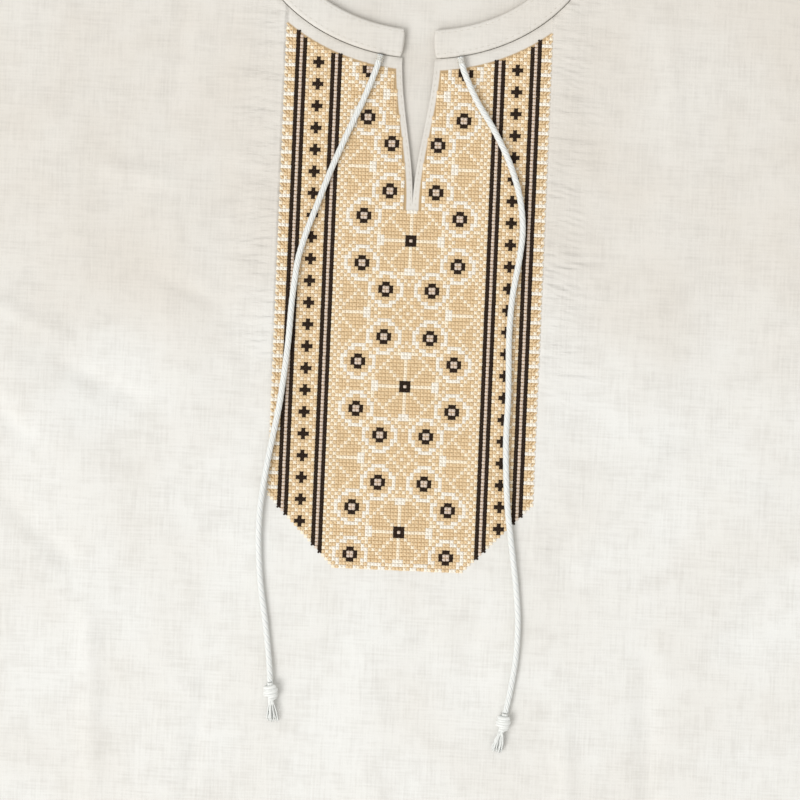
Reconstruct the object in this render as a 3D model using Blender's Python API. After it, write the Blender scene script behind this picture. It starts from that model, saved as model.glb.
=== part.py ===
"""Romanian ie: an off-white linen blouse with a cross-stitched chest and two tie cords.

It is laid flat on a table with its front up. X runs across the blouse, Y from its hem to its
shoulders and Z up from the table, all in metres. Left and right are as seen from above. The
origin is on the table, under the middle of the space that the blouse covers.

The layers, from the table up, are the back, the front, the embroidery on it and the cords.
"""

import math

import bmesh
import bpy

# Cloth
WALL = 0.0012  # one layer of linen
GAP = 0.0003  # kept between pieces that touch
FLAT_RISE = 0.0015  # air between the back and the embroidered stretch of the front

# Body
BODY_WIDTH = 0.560
BODY_LENGTH = 0.660
NECK_HALF_WIDTH = 0.100
FRONT_NECK_DEPTH = 0.080
BACK_NECK_DEPTH = 0.022
SLIT_LENGTH = 0.082
SLIT_HALF_OPENING = 0.009  # at the neckline

# Neckband
BAND_WIDTH = 0.016
BAND_THICKNESS = 0.0034
BACK_BAND_THICKNESS = 0.0024
BAND_TURN_RADIUS = 0.010  # of its middle line, where it folds over at the side of the neck
BAND_TURN = math.radians(50)

# Sleeves and gussets
SLEEVE_LENGTH = 0.500
SLEEVE_TOP_WIDTH = 0.210
SLEEVE_END_WIDTH = 0.150
SLEEVE_RISE = 0.0013  # air inside the laid sleeve, along its middle
SLEEVE_DROOP = {-1: 0.034, 1: 0.022}  # how far each sleeve's end lies below the shoulder line
GUSSET_SIDE = 0.080

# Embroidery, counted in stitches from the middle of the first star down from the slit
STITCH_ACROSS = 0.0020
STITCH_DOWN = 0.00205
MOTIF_BELOW_SHOULDER = 0.2645
PANEL_HALF_STITCHES = 38.5
CHAMFER_SUM = 68.0  # stitches across plus stitches down, along the cut-off corner
LAST_ROW = 50.0
SLIT_FOOT_ROW = -50.0
EMBROIDERY_THICKNESS = 0.0010
NECK_MARGIN = 0.006  # plain linen between the neckline and the embroidery
SLIT_MARGIN = 0.003

# Cords
CORD_DIAMETER = 0.0038
CORD_POINT_SPACING = 0.0095
CORD_BEVEL_RESOLUTION = 2

# Places that follow from the sizes
BAND_PEAK = (BAND_TURN_RADIUS + BAND_WIDTH / 2) * math.sin(BAND_TURN)
SHOULDER_Y = (BODY_LENGTH - BAND_PEAK) / 2
HEM_Y = SHOULDER_Y - BODY_LENGTH
MOTIF_Y = SHOULDER_Y - MOTIF_BELOW_SHOULDER
SIDE_X = BODY_WIDTH / 2
NECK_BASE_Y = SHOULDER_Y - FRONT_NECK_DEPTH
SLIT_FOOT_Y = NECK_BASE_Y - SLIT_LENGTH
ARMHOLE_Y = SHOULDER_Y - SLEEVE_TOP_WIDTH
PANEL_HALF_WIDTH = PANEL_HALF_STITCHES * STITCH_ACROSS
FLAT_HALF_WIDTH = 0.084
FLAT_LOW_Y = MOTIF_Y - 0.205
FRONT_TOP = WALL + FLAT_RISE + WALL  # upper face of the front where the embroidery holds it flat
EMBROIDERY_TOP = FRONT_TOP + GAP + EMBROIDERY_THICKNESS
BACK_NECK_RADIUS = (NECK_HALF_WIDTH**2 + BACK_NECK_DEPTH**2) / (2 * BACK_NECK_DEPTH)
BACK_NECK_TURN = math.asin(NECK_HALF_WIDTH / BACK_NECK_RADIUS)
BACK_NECK_STEPS = 12
FRONT_NECK_FROM = math.asin(SLIT_HALF_OPENING / NECK_HALF_WIDTH)
FRONT_NECK_STEPS = 9

# Soft folds: where each starts and ends, how high it stands and how wide it is on each side.
# On the body x and y are measured from the middle and from the motif.
FOLD_COLUMNS = ("x_from", "y_from", "x_to", "y_to", "height", "width")
FRONT_FOLDS = (
    (-0.270, 0.060, -0.150, -0.090, 0.0021, 0.022),
    (0.272, 0.050, 0.165, -0.110, 0.0019, 0.024),
    (-0.135, 0.150, -0.118, -0.060, 0.0012, 0.018),
    (0.150, 0.130, 0.128, -0.050, 0.0013, 0.020),
    (-0.205, 0.180, -0.190, 0.050, 0.0010, 0.020),
    (0.215, 0.170, 0.205, 0.030, 0.0011, 0.018),
    (-0.110, -0.170, -0.135, -0.430, 0.0019, 0.022),
    (-0.030, -0.250, -0.038, -0.430, 0.0014, 0.020),
    (0.062, -0.215, 0.085, -0.430, 0.0018, 0.022),
    (0.165, -0.190, 0.190, -0.430, 0.0020, 0.024),
    (-0.215, -0.150, -0.228, -0.400, 0.0014, 0.020),
)
# On a sleeve they are measured from the armhole and from the sleeve's middle line.
SLEEVE_FOLDS = {
    -1: (
        (0.000, 0.060, 0.240, 0.030, 0.0019, 0.018),
        (0.020, -0.070, 0.200, -0.030, 0.0021, 0.019),
        (0.190, 0.000, 0.460, 0.012, 0.0017, 0.018),
        (0.330, -0.045, 0.520, -0.030, 0.0015, 0.016),
    ),
    1: (
        (0.010, 0.045, 0.210, 0.050, 0.0018, 0.018),
        (0.000, -0.060, 0.260, -0.022, 0.0021, 0.020),
        (0.240, 0.020, 0.520, 0.004, 0.0018, 0.018),
        (0.120, 0.005, 0.250, 0.010, 0.0012, 0.016),
    ),
}

# Middle line of each cord: across, up from the motif's middle, and height above the table.
CORD_ROUTES = {
    -1: (
        (-0.0215, 0.1857, 0.0064),
        (-0.0224, 0.1815, 0.0073),
        (-0.0244, 0.1750, 0.0075),
        (-0.0300, 0.1600, 0.0075),
        (-0.0385, 0.1400, 0.0075),
        (-0.0465, 0.1200, 0.0075),
        (-0.0535, 0.1000, 0.0075),
        (-0.0590, 0.0840, 0.0075),
        (-0.0627, 0.0701, 0.0075),
        (-0.0644, 0.0565, 0.0075),
        (-0.0655, 0.0433, 0.0075),
        (-0.0667, 0.0196, 0.0075),
        (-0.0697, -0.0109, 0.0075),
        (-0.0726, -0.0290, 0.0075),
        (-0.0754, -0.0461, 0.0075),
        (-0.0777, -0.0642, 0.0073),
        (-0.0786, -0.0780, 0.0067),
        (-0.0784, -0.0918, 0.0062),
        (-0.0765, -0.1130, 0.0061),
        (-0.0730, -0.1340, 0.0061),
        (-0.0700, -0.1550, 0.0061),
        (-0.0686, -0.1690, 0.0064),
    ),
    1: (
        (0.0235, 0.1861, 0.0064),
        (0.0246, 0.1817, 0.0073),
        (0.0272, 0.1750, 0.0075),
        (0.0340, 0.1615, 0.0075),
        (0.0440, 0.1460, 0.0075),
        (0.0535, 0.1280, 0.0075),
        (0.0600, 0.1090, 0.0075),
        (0.0624, 0.0910, 0.0075),
        (0.0614, 0.0754, 0.0075),
        (0.0596, 0.0630, 0.0075),
        (0.0584, 0.0500, 0.0075),
        (0.0578, 0.0299, 0.0075),
        (0.0584, 0.0100, 0.0075),
        (0.0587, -0.0055, 0.0075),
        (0.0583, -0.0250, 0.0075),
        (0.0586, -0.0420, 0.0075),
        (0.0602, -0.0635, 0.0075),
        (0.0628, -0.0820, 0.0073),
        (0.0650, -0.0960, 0.0066),
        (0.0672, -0.1110, 0.0061),
        (0.0690, -0.1300, 0.0061),
        (0.0686, -0.1500, 0.0061),
        (0.0662, -0.1690, 0.0061),
        (0.0640, -0.1810, 0.0064),
    ),
}

# Knot and frayed end: distance along, middle height, half width across and half height.
KNOT_COLUMNS = ("along", "height", "across", "up")
KNOT_SECTIONS = (
    (0.0000, 0.0068, 0.0016, 0.0015),
    (0.0012, 0.0072, 0.0034, 0.0026),
    (0.0035, 0.0077, 0.0045, 0.0034),
    (0.0062, 0.0077, 0.0044, 0.0034),
    (0.0086, 0.0071, 0.0030, 0.0025),
    (0.0100, 0.0066, 0.0019, 0.0018),
    (0.0150, 0.0062, 0.0027, 0.0018),
    (0.0215, 0.0060, 0.0036, 0.0016),
    (0.0220, 0.0060, 0.0026, 0.0010),
)
KNOT_SIDES = 10

LINEN = ("linen", (0.80, 0.78, 0.73), 0.85)
STITCHED = ("embroidery_cotton", (0.68, 0.47, 0.27), 0.75)
CORD_COTTON = ("cord_cotton", (0.83, 0.84, 0.80), 0.70)

SIDE_NAMES = {-1: "left", 1: "right"}


def clear_scene():
    for old in list(bpy.data.objects):
        bpy.data.objects.remove(old)


def material_for(finish):
    """The material of this finish, made the first time that a piece asks for it."""
    name, colour, roughness = finish
    found = bpy.data.materials.get(name)
    if found:
        return found
    made = bpy.data.materials.new(name)
    made.use_nodes = True
    shader = made.node_tree.nodes["Principled BSDF"]
    shader.inputs["Base Color"].default_value = (*colour, 1)
    shader.inputs["Roughness"].default_value = roughness
    shader.inputs["Metallic"].default_value = 0
    return made


def add_solid(name, shape, finish):
    """Turns a closed bmesh into a named object with its faces pointing out."""
    bmesh.ops.recalc_face_normals(shape, faces=shape.faces)
    mesh = bpy.data.meshes.new(name)
    shape.to_mesh(mesh)
    shape.free()
    mesh.shade_smooth()
    mesh.set_sharp_from_angle(angle=math.radians(50))
    mesh.materials.append(material_for(finish))
    made = bpy.data.objects.new(name, mesh)
    bpy.context.scene.collection.objects.link(made)
    return made


def smooth(share):
    """0 up to 0, 1 from 1 on, and an easy curve between."""
    share = min(max(share, 0.0), 1.0)
    return share * share * (3 - 2 * share)


def between(low, high, share):
    return low + (high - low) * share


def ridge(x, y, fold):
    """How much one soft fold lifts the cloth: a rounded ridge that fades out at both ends."""
    x_from, y_from, x_to, y_to, height, width = fold
    run_x, run_y = x_to - x_from, y_to - y_from
    length = math.hypot(run_x, run_y)
    along = ((x - x_from) * run_x + (y - y_from) * run_y) / length
    across = ((x - x_from) * run_y - (y - y_from) * run_x) / length
    fade = 0.35 * length
    ends = smooth(along / fade) * smooth((length - along) / fade)
    return height * ends * math.exp(-((across / width) ** 2))


def front_rise(x, y):
    """Air between the back's upper face and the front's lower face."""
    from_side = SIDE_X - abs(x)
    seam = 0.2 + 0.8 * smooth(from_side / 0.060)
    closed = smooth((abs(x) - NECK_HALF_WIDTH) / 0.030)
    seam *= 1 - closed * (1 - smooth((SHOULDER_Y - y) / 0.035))
    above_hem = 0.5 + 0.5 * smooth((y - HEM_Y) / 0.100)
    beside = smooth((abs(x) - FLAT_HALF_WIDTH) / 0.020)
    below = smooth((FLAT_LOW_Y - y) / 0.030)
    loose = max(beside, below)
    folds = sum(ridge(x, y - MOTIF_Y, fold) for fold in FRONT_FOLDS)
    return GAP + seam * above_hem * (FLAT_RISE - GAP) + seam * loose * folds


def neckline_x(y):
    """Half width of the front neckline at this height."""
    down = (SHOULDER_Y - y) / FRONT_NECK_DEPTH
    return NECK_HALF_WIDTH * math.sqrt(max(0.0, 1 - down * down))


def front_neck_turns():
    """Angles round the front neckline, from the slit to the side of the neck."""
    steps = FRONT_NECK_STEPS
    return [between(FRONT_NECK_FROM, math.pi / 2, i / steps) for i in range(steps + 1)]


def slit_half_gap(y):
    return SLIT_HALF_OPENING * smooth((y - SLIT_FOOT_Y) / SLIT_LENGTH)


def sheet_solid(name, cells, low_point, high_point, finish):
    """A wall between two faces. cells are polygons of keys, and each key has a place on both."""
    shape = bmesh.new()
    keys = sorted({key for cell in cells for key in cell})
    low = {key: shape.verts.new(low_point(key)) for key in keys}
    high = {key: shape.verts.new(high_point(key)) for key in keys}
    rim = {}
    for cell in cells:
        shape.faces.new([high[key] for key in cell])
        shape.faces.new([low[key] for key in reversed(cell)])
        for first, second in zip(cell, cell[1:] + cell[:1]):
            if (second, first) in rim:
                del rim[second, first]
            else:
                rim[first, second] = True
    for first, second in rim:
        shape.faces.new((high[second], high[first], low[first], low[second]))
    return add_solid(name, shape, finish)


def prism(name, outline, bottom, top, finish):
    """A flat piece of any outline, extruded up from its lower face."""
    shape = bmesh.new()
    face = shape.faces.new([shape.verts.new((x, y, bottom)) for x, y in outline])
    raised = bmesh.ops.extrude_face_region(shape, geom=[face])["geom"]
    moved = [part for part in raised if isinstance(part, bmesh.types.BMVert)]
    bmesh.ops.translate(shape, verts=moved, vec=(0, 0, top - bottom))
    return add_solid(name, shape, finish)


def loft(name, rings, finish):
    """A solid through closed rings that have the same number of points, capped at both ends."""
    shape = bmesh.new()
    made = [[shape.verts.new(point) for point in ring] for ring in rings]
    for first, second in zip(made, made[1:]):
        for i in range(len(first)):
            j = (i + 1) % len(first)
            shape.faces.new((first[i], first[j], second[j], second[i]))
    shape.faces.new(reversed(made[0]))
    shape.faces.new(made[-1])
    return add_solid(name, shape, finish)


def tube_wall(name, outer_rings, inner_rings, finish):
    """An open-ended tube: an outer skin, an inner skin and a rim that joins them at each end."""
    shape = bmesh.new()
    outer = [[shape.verts.new(point) for point in ring] for ring in outer_rings]
    inner = [[shape.verts.new(point) for point in ring] for ring in inner_rings]
    count = len(outer[0])
    for skin in (outer, inner):
        for first, second in zip(skin, skin[1:]):
            for i in range(count):
                j = (i + 1) % count
                shape.faces.new((first[i], first[j], second[j], second[i]))
    for end in (0, -1):
        for i in range(count):
            j = (i + 1) % count
            shape.faces.new((outer[end][i], outer[end][j], inner[end][j], inner[end][i]))
    return add_solid(name, shape, finish)


def make_back():
    """The back lies flat on the table, so it is an outline with a shallow arc for the neck."""
    centre_y = SHOULDER_Y - BACK_NECK_DEPTH + BACK_NECK_RADIUS
    outline = [(-SIDE_X, HEM_Y), (SIDE_X, HEM_Y), (SIDE_X, SHOULDER_Y)]
    for i in range(BACK_NECK_STEPS + 1):
        turn = between(BACK_NECK_TURN, -BACK_NECK_TURN, i / BACK_NECK_STEPS)
        outline.append(
            (BACK_NECK_RADIUS * math.sin(turn), centre_y - BACK_NECK_RADIUS * math.cos(turn))
        )
    outline.append((-SIDE_X, SHOULDER_Y))
    prism("back", outline, 0, WALL, LINEN)


def front_rows():
    """Heights of the front's rows, from the hem past the slit and along the neckline."""
    body_rows, slit_rows = 25, 4
    rows = [between(HEM_Y, SLIT_FOOT_Y, i / body_rows) for i in range(body_rows)]
    slit_top = SHOULDER_Y - FRONT_NECK_DEPTH * math.cos(FRONT_NECK_FROM)
    rows += [between(SLIT_FOOT_Y, slit_top, i / slit_rows) for i in range(slit_rows)]
    rows += [SHOULDER_Y - FRONT_NECK_DEPTH * math.cos(turn) for turn in front_neck_turns()]
    return rows, body_rows, body_rows + slit_rows


def make_front():
    """The front is one wall with two halves that part at the slit's foot."""
    rows, foot_row, neck_row = front_rows()
    columns = (0, 0.028, 0.056, 0.084, 0.104, 0.125, 0.147, 0.169, 0.191, 0.213, 0.235, 0.258, SIDE_X)

    def place(key):
        row, column, side = key
        y = rows[row]
        inner = 0.0
        if row > neck_row:
            inner = neckline_x(y)
        elif row > foot_row:
            inner = slit_half_gap(y)
        share = columns[column] / SIDE_X
        return side * between(inner, SIDE_X, share), y

    def key_for(row, column, side):
        joined = column == 0 and row <= foot_row
        return row, column, 0 if joined else side

    cells = []
    for side in (-1, 1):
        for row in range(len(rows) - 1):
            for column in range(len(columns) - 1):
                cell = (
                    key_for(row, column, side),
                    key_for(row, column + 1, side),
                    key_for(row + 1, column + 1, side),
                    key_for(row + 1, column, side),
                )
                cells.append(cell if side > 0 else cell[::-1])

    def low_point(key):
        x, y = place(key)
        return x, y, WALL + front_rise(x, y)

    def high_point(key):
        x, y = place(key)
        return x, y, WALL + front_rise(x, y) + WALL

    sheet_solid("front", cells, low_point, high_point, LINEN)


def make_chest_embroidery():
    """The stitched layer: cut-off lower corners, a curved top below the neckline, and the slit."""
    bottom_y = MOTIF_Y - LAST_ROW * STITCH_DOWN
    bottom_x = (CHAMFER_SUM - LAST_ROW) * STITCH_ACROSS
    corner_y = MOTIF_Y - (CHAMFER_SUM - PANEL_HALF_STITCHES) * STITCH_DOWN
    wide, deep = NECK_HALF_WIDTH + NECK_MARGIN, FRONT_NECK_DEPTH + NECK_MARGIN
    slit_x = SLIT_HALF_OPENING + SLIT_MARGIN
    from_turn = math.asin(PANEL_HALF_WIDTH / wide)
    to_turn = math.asin(slit_x / wide)
    right = [(bottom_x, bottom_y), (PANEL_HALF_WIDTH, corner_y)]
    neck_steps = 7
    for i in range(neck_steps + 1):
        turn = between(from_turn, to_turn, i / neck_steps)
        right.append((wide * math.sin(turn), SHOULDER_Y - deep * math.cos(turn)))
    slit_steps = 4
    top_y = right[-1][1]
    foot_y = MOTIF_Y - SLIT_FOOT_ROW * STITCH_DOWN - SLIT_MARGIN
    for i in range(1, slit_steps):
        y = between(top_y, foot_y, i / slit_steps)
        right.append((slit_half_gap(y) + SLIT_MARGIN, y))
    right.append((SLIT_MARGIN / 2, foot_y))
    left = [(-x, y) for x, y in reversed(right)]
    prism("chest_embroidery", right + left, FRONT_TOP + GAP, EMBROIDERY_TOP, STITCHED)


def sleeve_section(side, from_armhole):
    """Outer and inner ring of a laid sleeve, at this distance from the armhole seam."""
    share = from_armhole / SLEEVE_LENGTH
    half = between(SLEEVE_TOP_WIDTH, SLEEVE_END_WIDTH, share) / 2
    middle = SHOULDER_Y - SLEEVE_DROOP[side] * share**1.6 - half
    x = side * (SIDE_X + GAP + from_armhole)
    round_edge = 0.003
    lower_steps, upper_steps = 3, 11
    edge_height = WALL + GAP / 2

    def upper_air(off_middle):
        puff = 1 - abs(off_middle / half) ** 2.5
        at_seam = 0.35 + 0.65 * smooth(from_armhole / 0.060)
        folds = sum(ridge(from_armhole, off_middle, fold) for fold in SLEEVE_FOLDS[side])
        return GAP + puff * at_seam * (SLEEVE_RISE + folds)

    outer, inner = [], []
    for i in range(lower_steps + 1):
        off = between(round_edge - half, half - round_edge, i / lower_steps)
        outer.append((x, middle + off, 0))
        inner.append((x, middle + off, WALL))
    outer.append((x, middle + half, edge_height))
    inner.append((x, middle + half - WALL, edge_height))
    for i in range(upper_steps + 1):
        off = between(half - round_edge, round_edge - half, i / upper_steps)
        air = upper_air(off)
        outer.append((x, middle + off, WALL + air + WALL))
        inner.append((x, middle + off, WALL + air))
    outer.append((x, middle - half, edge_height))
    inner.append((x, middle - half + WALL, edge_height))
    return outer, inner


def make_sleeve(side):
    steps = 21
    sections = [sleeve_section(side, SLEEVE_LENGTH * i / steps) for i in range(steps + 1)]
    outer = [section[0] for section in sections]
    inner = [section[1] for section in sections]
    tube_wall(f"sleeve_{SIDE_NAMES[side]}", outer, inner, LINEN)


def sleeve_lower_y(side, from_armhole):
    share = from_armhole / SLEEVE_LENGTH
    width = between(SLEEVE_TOP_WIDTH, SLEEVE_END_WIDTH, share)
    return SHOULDER_Y - SLEEVE_DROOP[side] * share**1.6 - width


def make_gusset(side):
    """A square folded on its diagonal: two layers that hang together along the fold."""
    body_end = (SIDE_X + GAP, ARMHOLE_Y - GUSSET_SIDE)
    corner = (SIDE_X + GAP, ARMHOLE_Y - GAP)
    sleeve_end = (SIDE_X + GUSSET_SIDE, sleeve_lower_y(side, GUSSET_SIDE) - GAP)
    rings = []
    steps = 14
    for i in range(steps + 1):
        share = between(0.07, 0.93, i / steps)
        fold = [between(body_end[k], sleeve_end[k], share) for k in (0, 1)]
        if share < 0.5:
            leg = [between(body_end[k], corner[k], share * 2) for k in (0, 1)]
        else:
            leg = [between(corner[k], sleeve_end[k], share * 2 - 1) for k in (0, 1)]
            from_armhole = leg[0] - SIDE_X - GAP
            leg[1] = sleeve_lower_y(side, max(from_armhole, 0)) - GAP
        depth = math.dist(fold, leg)

        def at(inwards, height):
            part = inwards / depth
            return (side * between(fold[0], leg[0], part), between(fold[1], leg[1], part), height)

        upper = 2 * WALL + GAP
        inset = min(0.003, 0.4 * depth)
        rings.append(
            (
                at(depth, 0),
                at(inset, 0),
                at(0, upper / 2),
                at(inset, upper),
                at(depth, upper),
                at(depth, WALL + GAP),
                at(inset, WALL + GAP),
                at(inset, WALL),
                at(depth, WALL),
            )
        )
    loft(f"gusset_{SIDE_NAMES[side]}", rings, LINEN)


def band_ring(middle, outwards, bottom, thickness):
    """Cross-section of the band: flat below, with rounded upper edges."""
    half, top, edge = BAND_WIDTH / 2, bottom + thickness, 0.3 * thickness
    profile = (
        (-half + edge / 2, bottom),
        (half - edge / 2, bottom),
        (half, bottom + edge),
        (half, top - edge),
        (half - 1.5 * edge, top),
        (-half + 1.5 * edge, top),
        (-half, top - edge),
        (-half, bottom + edge),
    )
    return [
        (middle[0] + outwards[0] * off, middle[1] + outwards[1] * off, height)
        for off, height in profile
    ]


def make_front_band(side):
    """From the slit round the front neckline, then over at the side of the neck."""
    inset = GAP + BAND_WIDTH / 2
    bottom = FRONT_TOP - WALL + GAP / 3
    rings = []
    for turn in front_neck_turns():
        seam = (
            NECK_HALF_WIDTH * math.sin(turn),
            SHOULDER_Y - FRONT_NECK_DEPTH * math.cos(turn),
        )
        away = (math.sin(turn) / NECK_HALF_WIDTH, -math.cos(turn) / FRONT_NECK_DEPTH)
        size = math.hypot(*away)
        away = (away[0] / size, away[1] / size)
        middle = (side * (seam[0] - away[0] * inset), seam[1] - away[1] * inset)
        rings.append(band_ring(middle, (side * away[0], away[1]), bottom, BAND_THICKNESS))
    turn_x = NECK_HALF_WIDTH - inset - BAND_TURN_RADIUS
    turn_steps = 5
    for i in range(1, turn_steps + 1):
        turn = BAND_TURN * i / turn_steps
        away = (side * math.cos(turn), math.sin(turn))
        middle = (
            side * turn_x + away[0] * BAND_TURN_RADIUS,
            SHOULDER_Y + away[1] * BAND_TURN_RADIUS,
        )
        rings.append(band_ring(middle, away, bottom, BAND_THICKNESS))
    loft(f"neckband_{SIDE_NAMES[side]}", rings, LINEN)


def make_back_band():
    """The stretch of the band that lies on the table behind the neck."""
    centre_y = SHOULDER_Y - BACK_NECK_DEPTH + BACK_NECK_RADIUS
    radius = BACK_NECK_RADIUS - GAP - BAND_WIDTH / 2
    rings = []
    for i in range(BACK_NECK_STEPS + 1):
        turn = between(-BACK_NECK_TURN, BACK_NECK_TURN, i / BACK_NECK_STEPS)
        away = (math.sin(turn), -math.cos(turn))
        middle = (radius * away[0], centre_y + radius * away[1])
        rings.append(band_ring(middle, away, 0, BACK_BAND_THICKNESS))
    loft("neckband_back", rings, LINEN)


def curve_through(points):
    """Many close points on a smooth curve through the given ones."""
    steps = 24
    padded = [points[0], *points, points[-1]]
    found = []
    for before, start, end, after in zip(padded, padded[1:], padded[2:], padded[3:]):
        for i in range(steps):
            t = i / steps
            found.append(
                tuple(
                    0.5
                    * (
                        2 * b
                        + (c - a) * t
                        + (2 * a - 5 * b + 4 * c - d) * t * t
                        + (3 * b - a - 3 * c + d) * t**3
                    )
                    for a, b, c, d in zip(before, start, end, after)
                )
            )
    found.append(points[-1])
    return found


def evenly_spaced(points, spacing):
    """Points at equal distances along a line of close points, both ends included."""
    lengths = [0.0]
    for first, second in zip(points, points[1:]):
        lengths.append(lengths[-1] + math.dist(first, second))
    count = round(lengths[-1] / spacing)
    found, i = [], 0
    for step in range(count + 1):
        wanted = lengths[-1] * step / count
        while i < len(points) - 2 and lengths[i + 1] < wanted:
            i += 1
        share = (wanted - lengths[i]) / (lengths[i + 1] - lengths[i])
        found.append([between(a, b, share) for a, b in zip(points[i], points[i + 1])])
    return found


def cord_points(side):
    route = [(x, MOTIF_Y + up, height) for x, up, height in CORD_ROUTES[side]]
    return evenly_spaced(curve_through(route), CORD_POINT_SPACING)


def make_cord(side):
    points = cord_points(side)
    name = f"cord_{SIDE_NAMES[side]}"
    line = bpy.data.curves.new(name, "CURVE")
    line.dimensions = "3D"
    line.bevel_depth = CORD_DIAMETER / 2
    line.bevel_resolution = CORD_BEVEL_RESOLUTION
    line.use_fill_caps = True
    spline = line.splines.new("POLY")
    spline.points.add(len(points) - 1)
    for point, place in zip(spline.points, points):
        point.co = (*place, 1)
    line.materials.append(material_for(CORD_COTTON))
    bpy.context.scene.collection.objects.link(bpy.data.objects.new(name, line))


def make_knot(side):
    """The knot at the cord's end and the short brush of loose threads beyond it."""
    *_, before, end = cord_points(side)
    run = (end[0] - before[0], end[1] - before[1])
    size = math.hypot(*run)
    ahead = (run[0] / size, run[1] / size)
    aside = (-ahead[1], ahead[0])
    rings = []
    for along, height, across, up in KNOT_SECTIONS:
        forward = GAP + along
        ring = []
        for i in range(KNOT_SIDES):
            turn = 2 * math.pi * i / KNOT_SIDES
            off = across * math.cos(turn)
            ring.append(
                (
                    end[0] + ahead[0] * forward + aside[0] * off,
                    end[1] + ahead[1] * forward + aside[1] * off,
                    height + up * math.sin(turn),
                )
            )
        rings.append(ring)
    loft(f"knot_{SIDE_NAMES[side]}", rings, CORD_COTTON)


def main():
    clear_scene()
    make_back()
    make_front()
    make_chest_embroidery()
    make_back_band()
    for side in (-1, 1):
        make_sleeve(side)
        make_gusset(side)
        make_front_band(side)
        make_cord(side)
        make_knot(side)


main()
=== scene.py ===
"""Looks of a Romanian ie: linen cloth, counted cross-stitch on the chest and two twisted tie cords.

The blouse lies flat on a table with its front up, in the frame of its solids: X across the
blouse, Y from its hem to its shoulders, Z up from the table, in metres. Left and right are as
seen from above. Stitches are counted from the middle of the first star below the slit.
"""

import math

import bmesh
import bpy
import numpy as np
from bpy.props import FloatProperty, FloatVectorProperty, IntProperty, PointerProperty
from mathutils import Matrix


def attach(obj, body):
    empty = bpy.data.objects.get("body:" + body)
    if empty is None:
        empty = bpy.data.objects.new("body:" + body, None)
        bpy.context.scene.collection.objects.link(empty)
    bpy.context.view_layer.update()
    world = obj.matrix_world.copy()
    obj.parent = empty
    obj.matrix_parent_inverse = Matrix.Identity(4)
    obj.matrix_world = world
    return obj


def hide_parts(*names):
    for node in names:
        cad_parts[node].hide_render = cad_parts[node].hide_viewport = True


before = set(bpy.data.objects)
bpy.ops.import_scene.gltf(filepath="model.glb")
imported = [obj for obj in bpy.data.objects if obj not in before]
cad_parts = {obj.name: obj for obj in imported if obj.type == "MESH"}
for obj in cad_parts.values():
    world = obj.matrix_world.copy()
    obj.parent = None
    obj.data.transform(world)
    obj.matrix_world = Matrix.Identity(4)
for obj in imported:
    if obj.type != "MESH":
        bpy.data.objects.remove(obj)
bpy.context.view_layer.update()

bl_info = {
    "name": "Ie blouse looks",
    "version": (1, 0, 0),
    "blender": (4, 5, 0),
    "location": "View3D > Sidebar > Ie blouse",
    "description": "Dresses the solids of a laid Romanian ie in linen, cross-stitch and cord",
    "category": "Object",
}

BODY = "root"
SIDE_NAMES = {-1: "left", 1: "right"}
SEED = 11

# Cloth
WALL = 0.0012  # one layer of linen in the solids
GAP = 0.0003  # room between two solids that lie together
CLOTH = 0.0008  # one layer of linen as it shows
FLAT_RISE = 0.0015  # air between the back and the front where there is no fold
EDGE_ROUNDING = 0.0004
THIN_EDGE = 0.12  # share of the thickness that is left at the very edge
SHARP_ANGLE = math.radians(70)

# Longest distances between neighbouring rows of points in the cloth's meshes
EDGE_STEP = 0.00014  # where an edge is rounded
TURN_STEP = 0.0007  # where a hem steps down
CHEST_STEP = 0.0023
HEM_STEP = 0.004
CLOTH_STEP = 0.0052

# Body
BODY_WIDTH = 0.560
BODY_LENGTH = 0.660
NECK_HALF_WIDTH = 0.100
FRONT_NECK_DEPTH = 0.080
BACK_NECK_DEPTH = 0.022
SLIT_LENGTH = 0.082
SLIT_HALF_OPENING = 0.009
FLAT_HALF_WIDTH = 0.084  # the front has no large fold within this, down to the next size
FLAT_BELOW_MOTIF = 0.205

# Neckband
BAND_WIDTH = 0.016
BAND_THICKNESS = 0.0034
BACK_BAND_THICKNESS = 0.0024
BAND_TURN_RADIUS = 0.010  # where the band turns from the front to the back at the shoulder
BAND_TURN = math.radians(50)

# Sleeves and gussets
SLEEVE_LENGTH = 0.500
SLEEVE_TOP_WIDTH = 0.210
SLEEVE_END_WIDTH = 0.150
SLEEVE_RISE = 0.0013  # air in a sleeve where there is no fold
SLEEVE_DROOP = {-1: 0.034, 1: 0.022}  # how much lower its end lies than its top
DROOP_BEND = 1.6  # 1 would be a straight slant
SLEEVE_FOLD_RADIUS = 0.003
GUSSET_SIDE = 0.080
GUSSET_FOLD_RADIUS = 0.003

# Embroidery. Columns and rows are counted from the motif, the middle of the first whole star.
STITCH_ACROSS = 0.0020
STITCH_DOWN = 0.00205
MOTIF_BELOW_SHOULDER = 0.2645
FIRST_ROW, LAST_ROW = -102, 50
LAST_COLUMN = 37
CHAMFER_SUM = 68  # largest sum of column and row, which cuts off the lower corners
NECK_MARGIN = 0.006
SLIT_MARGIN = 0.003

# Hems and seams
HEM_DEPTH = 0.013
HEM_RISE = 0.0004
HEM_TURN = 0.001  # width over which a hem steps down to the single cloth
SEAM_TURN = 0.005  # width over which an edge bends down to its seam
STITCH_SUNK = 0.00008  # how deep the sewing stitches' ends sit in the cloth
BINDING_TURNS = 3
BINDING_RADIUS = 0.00205

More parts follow.
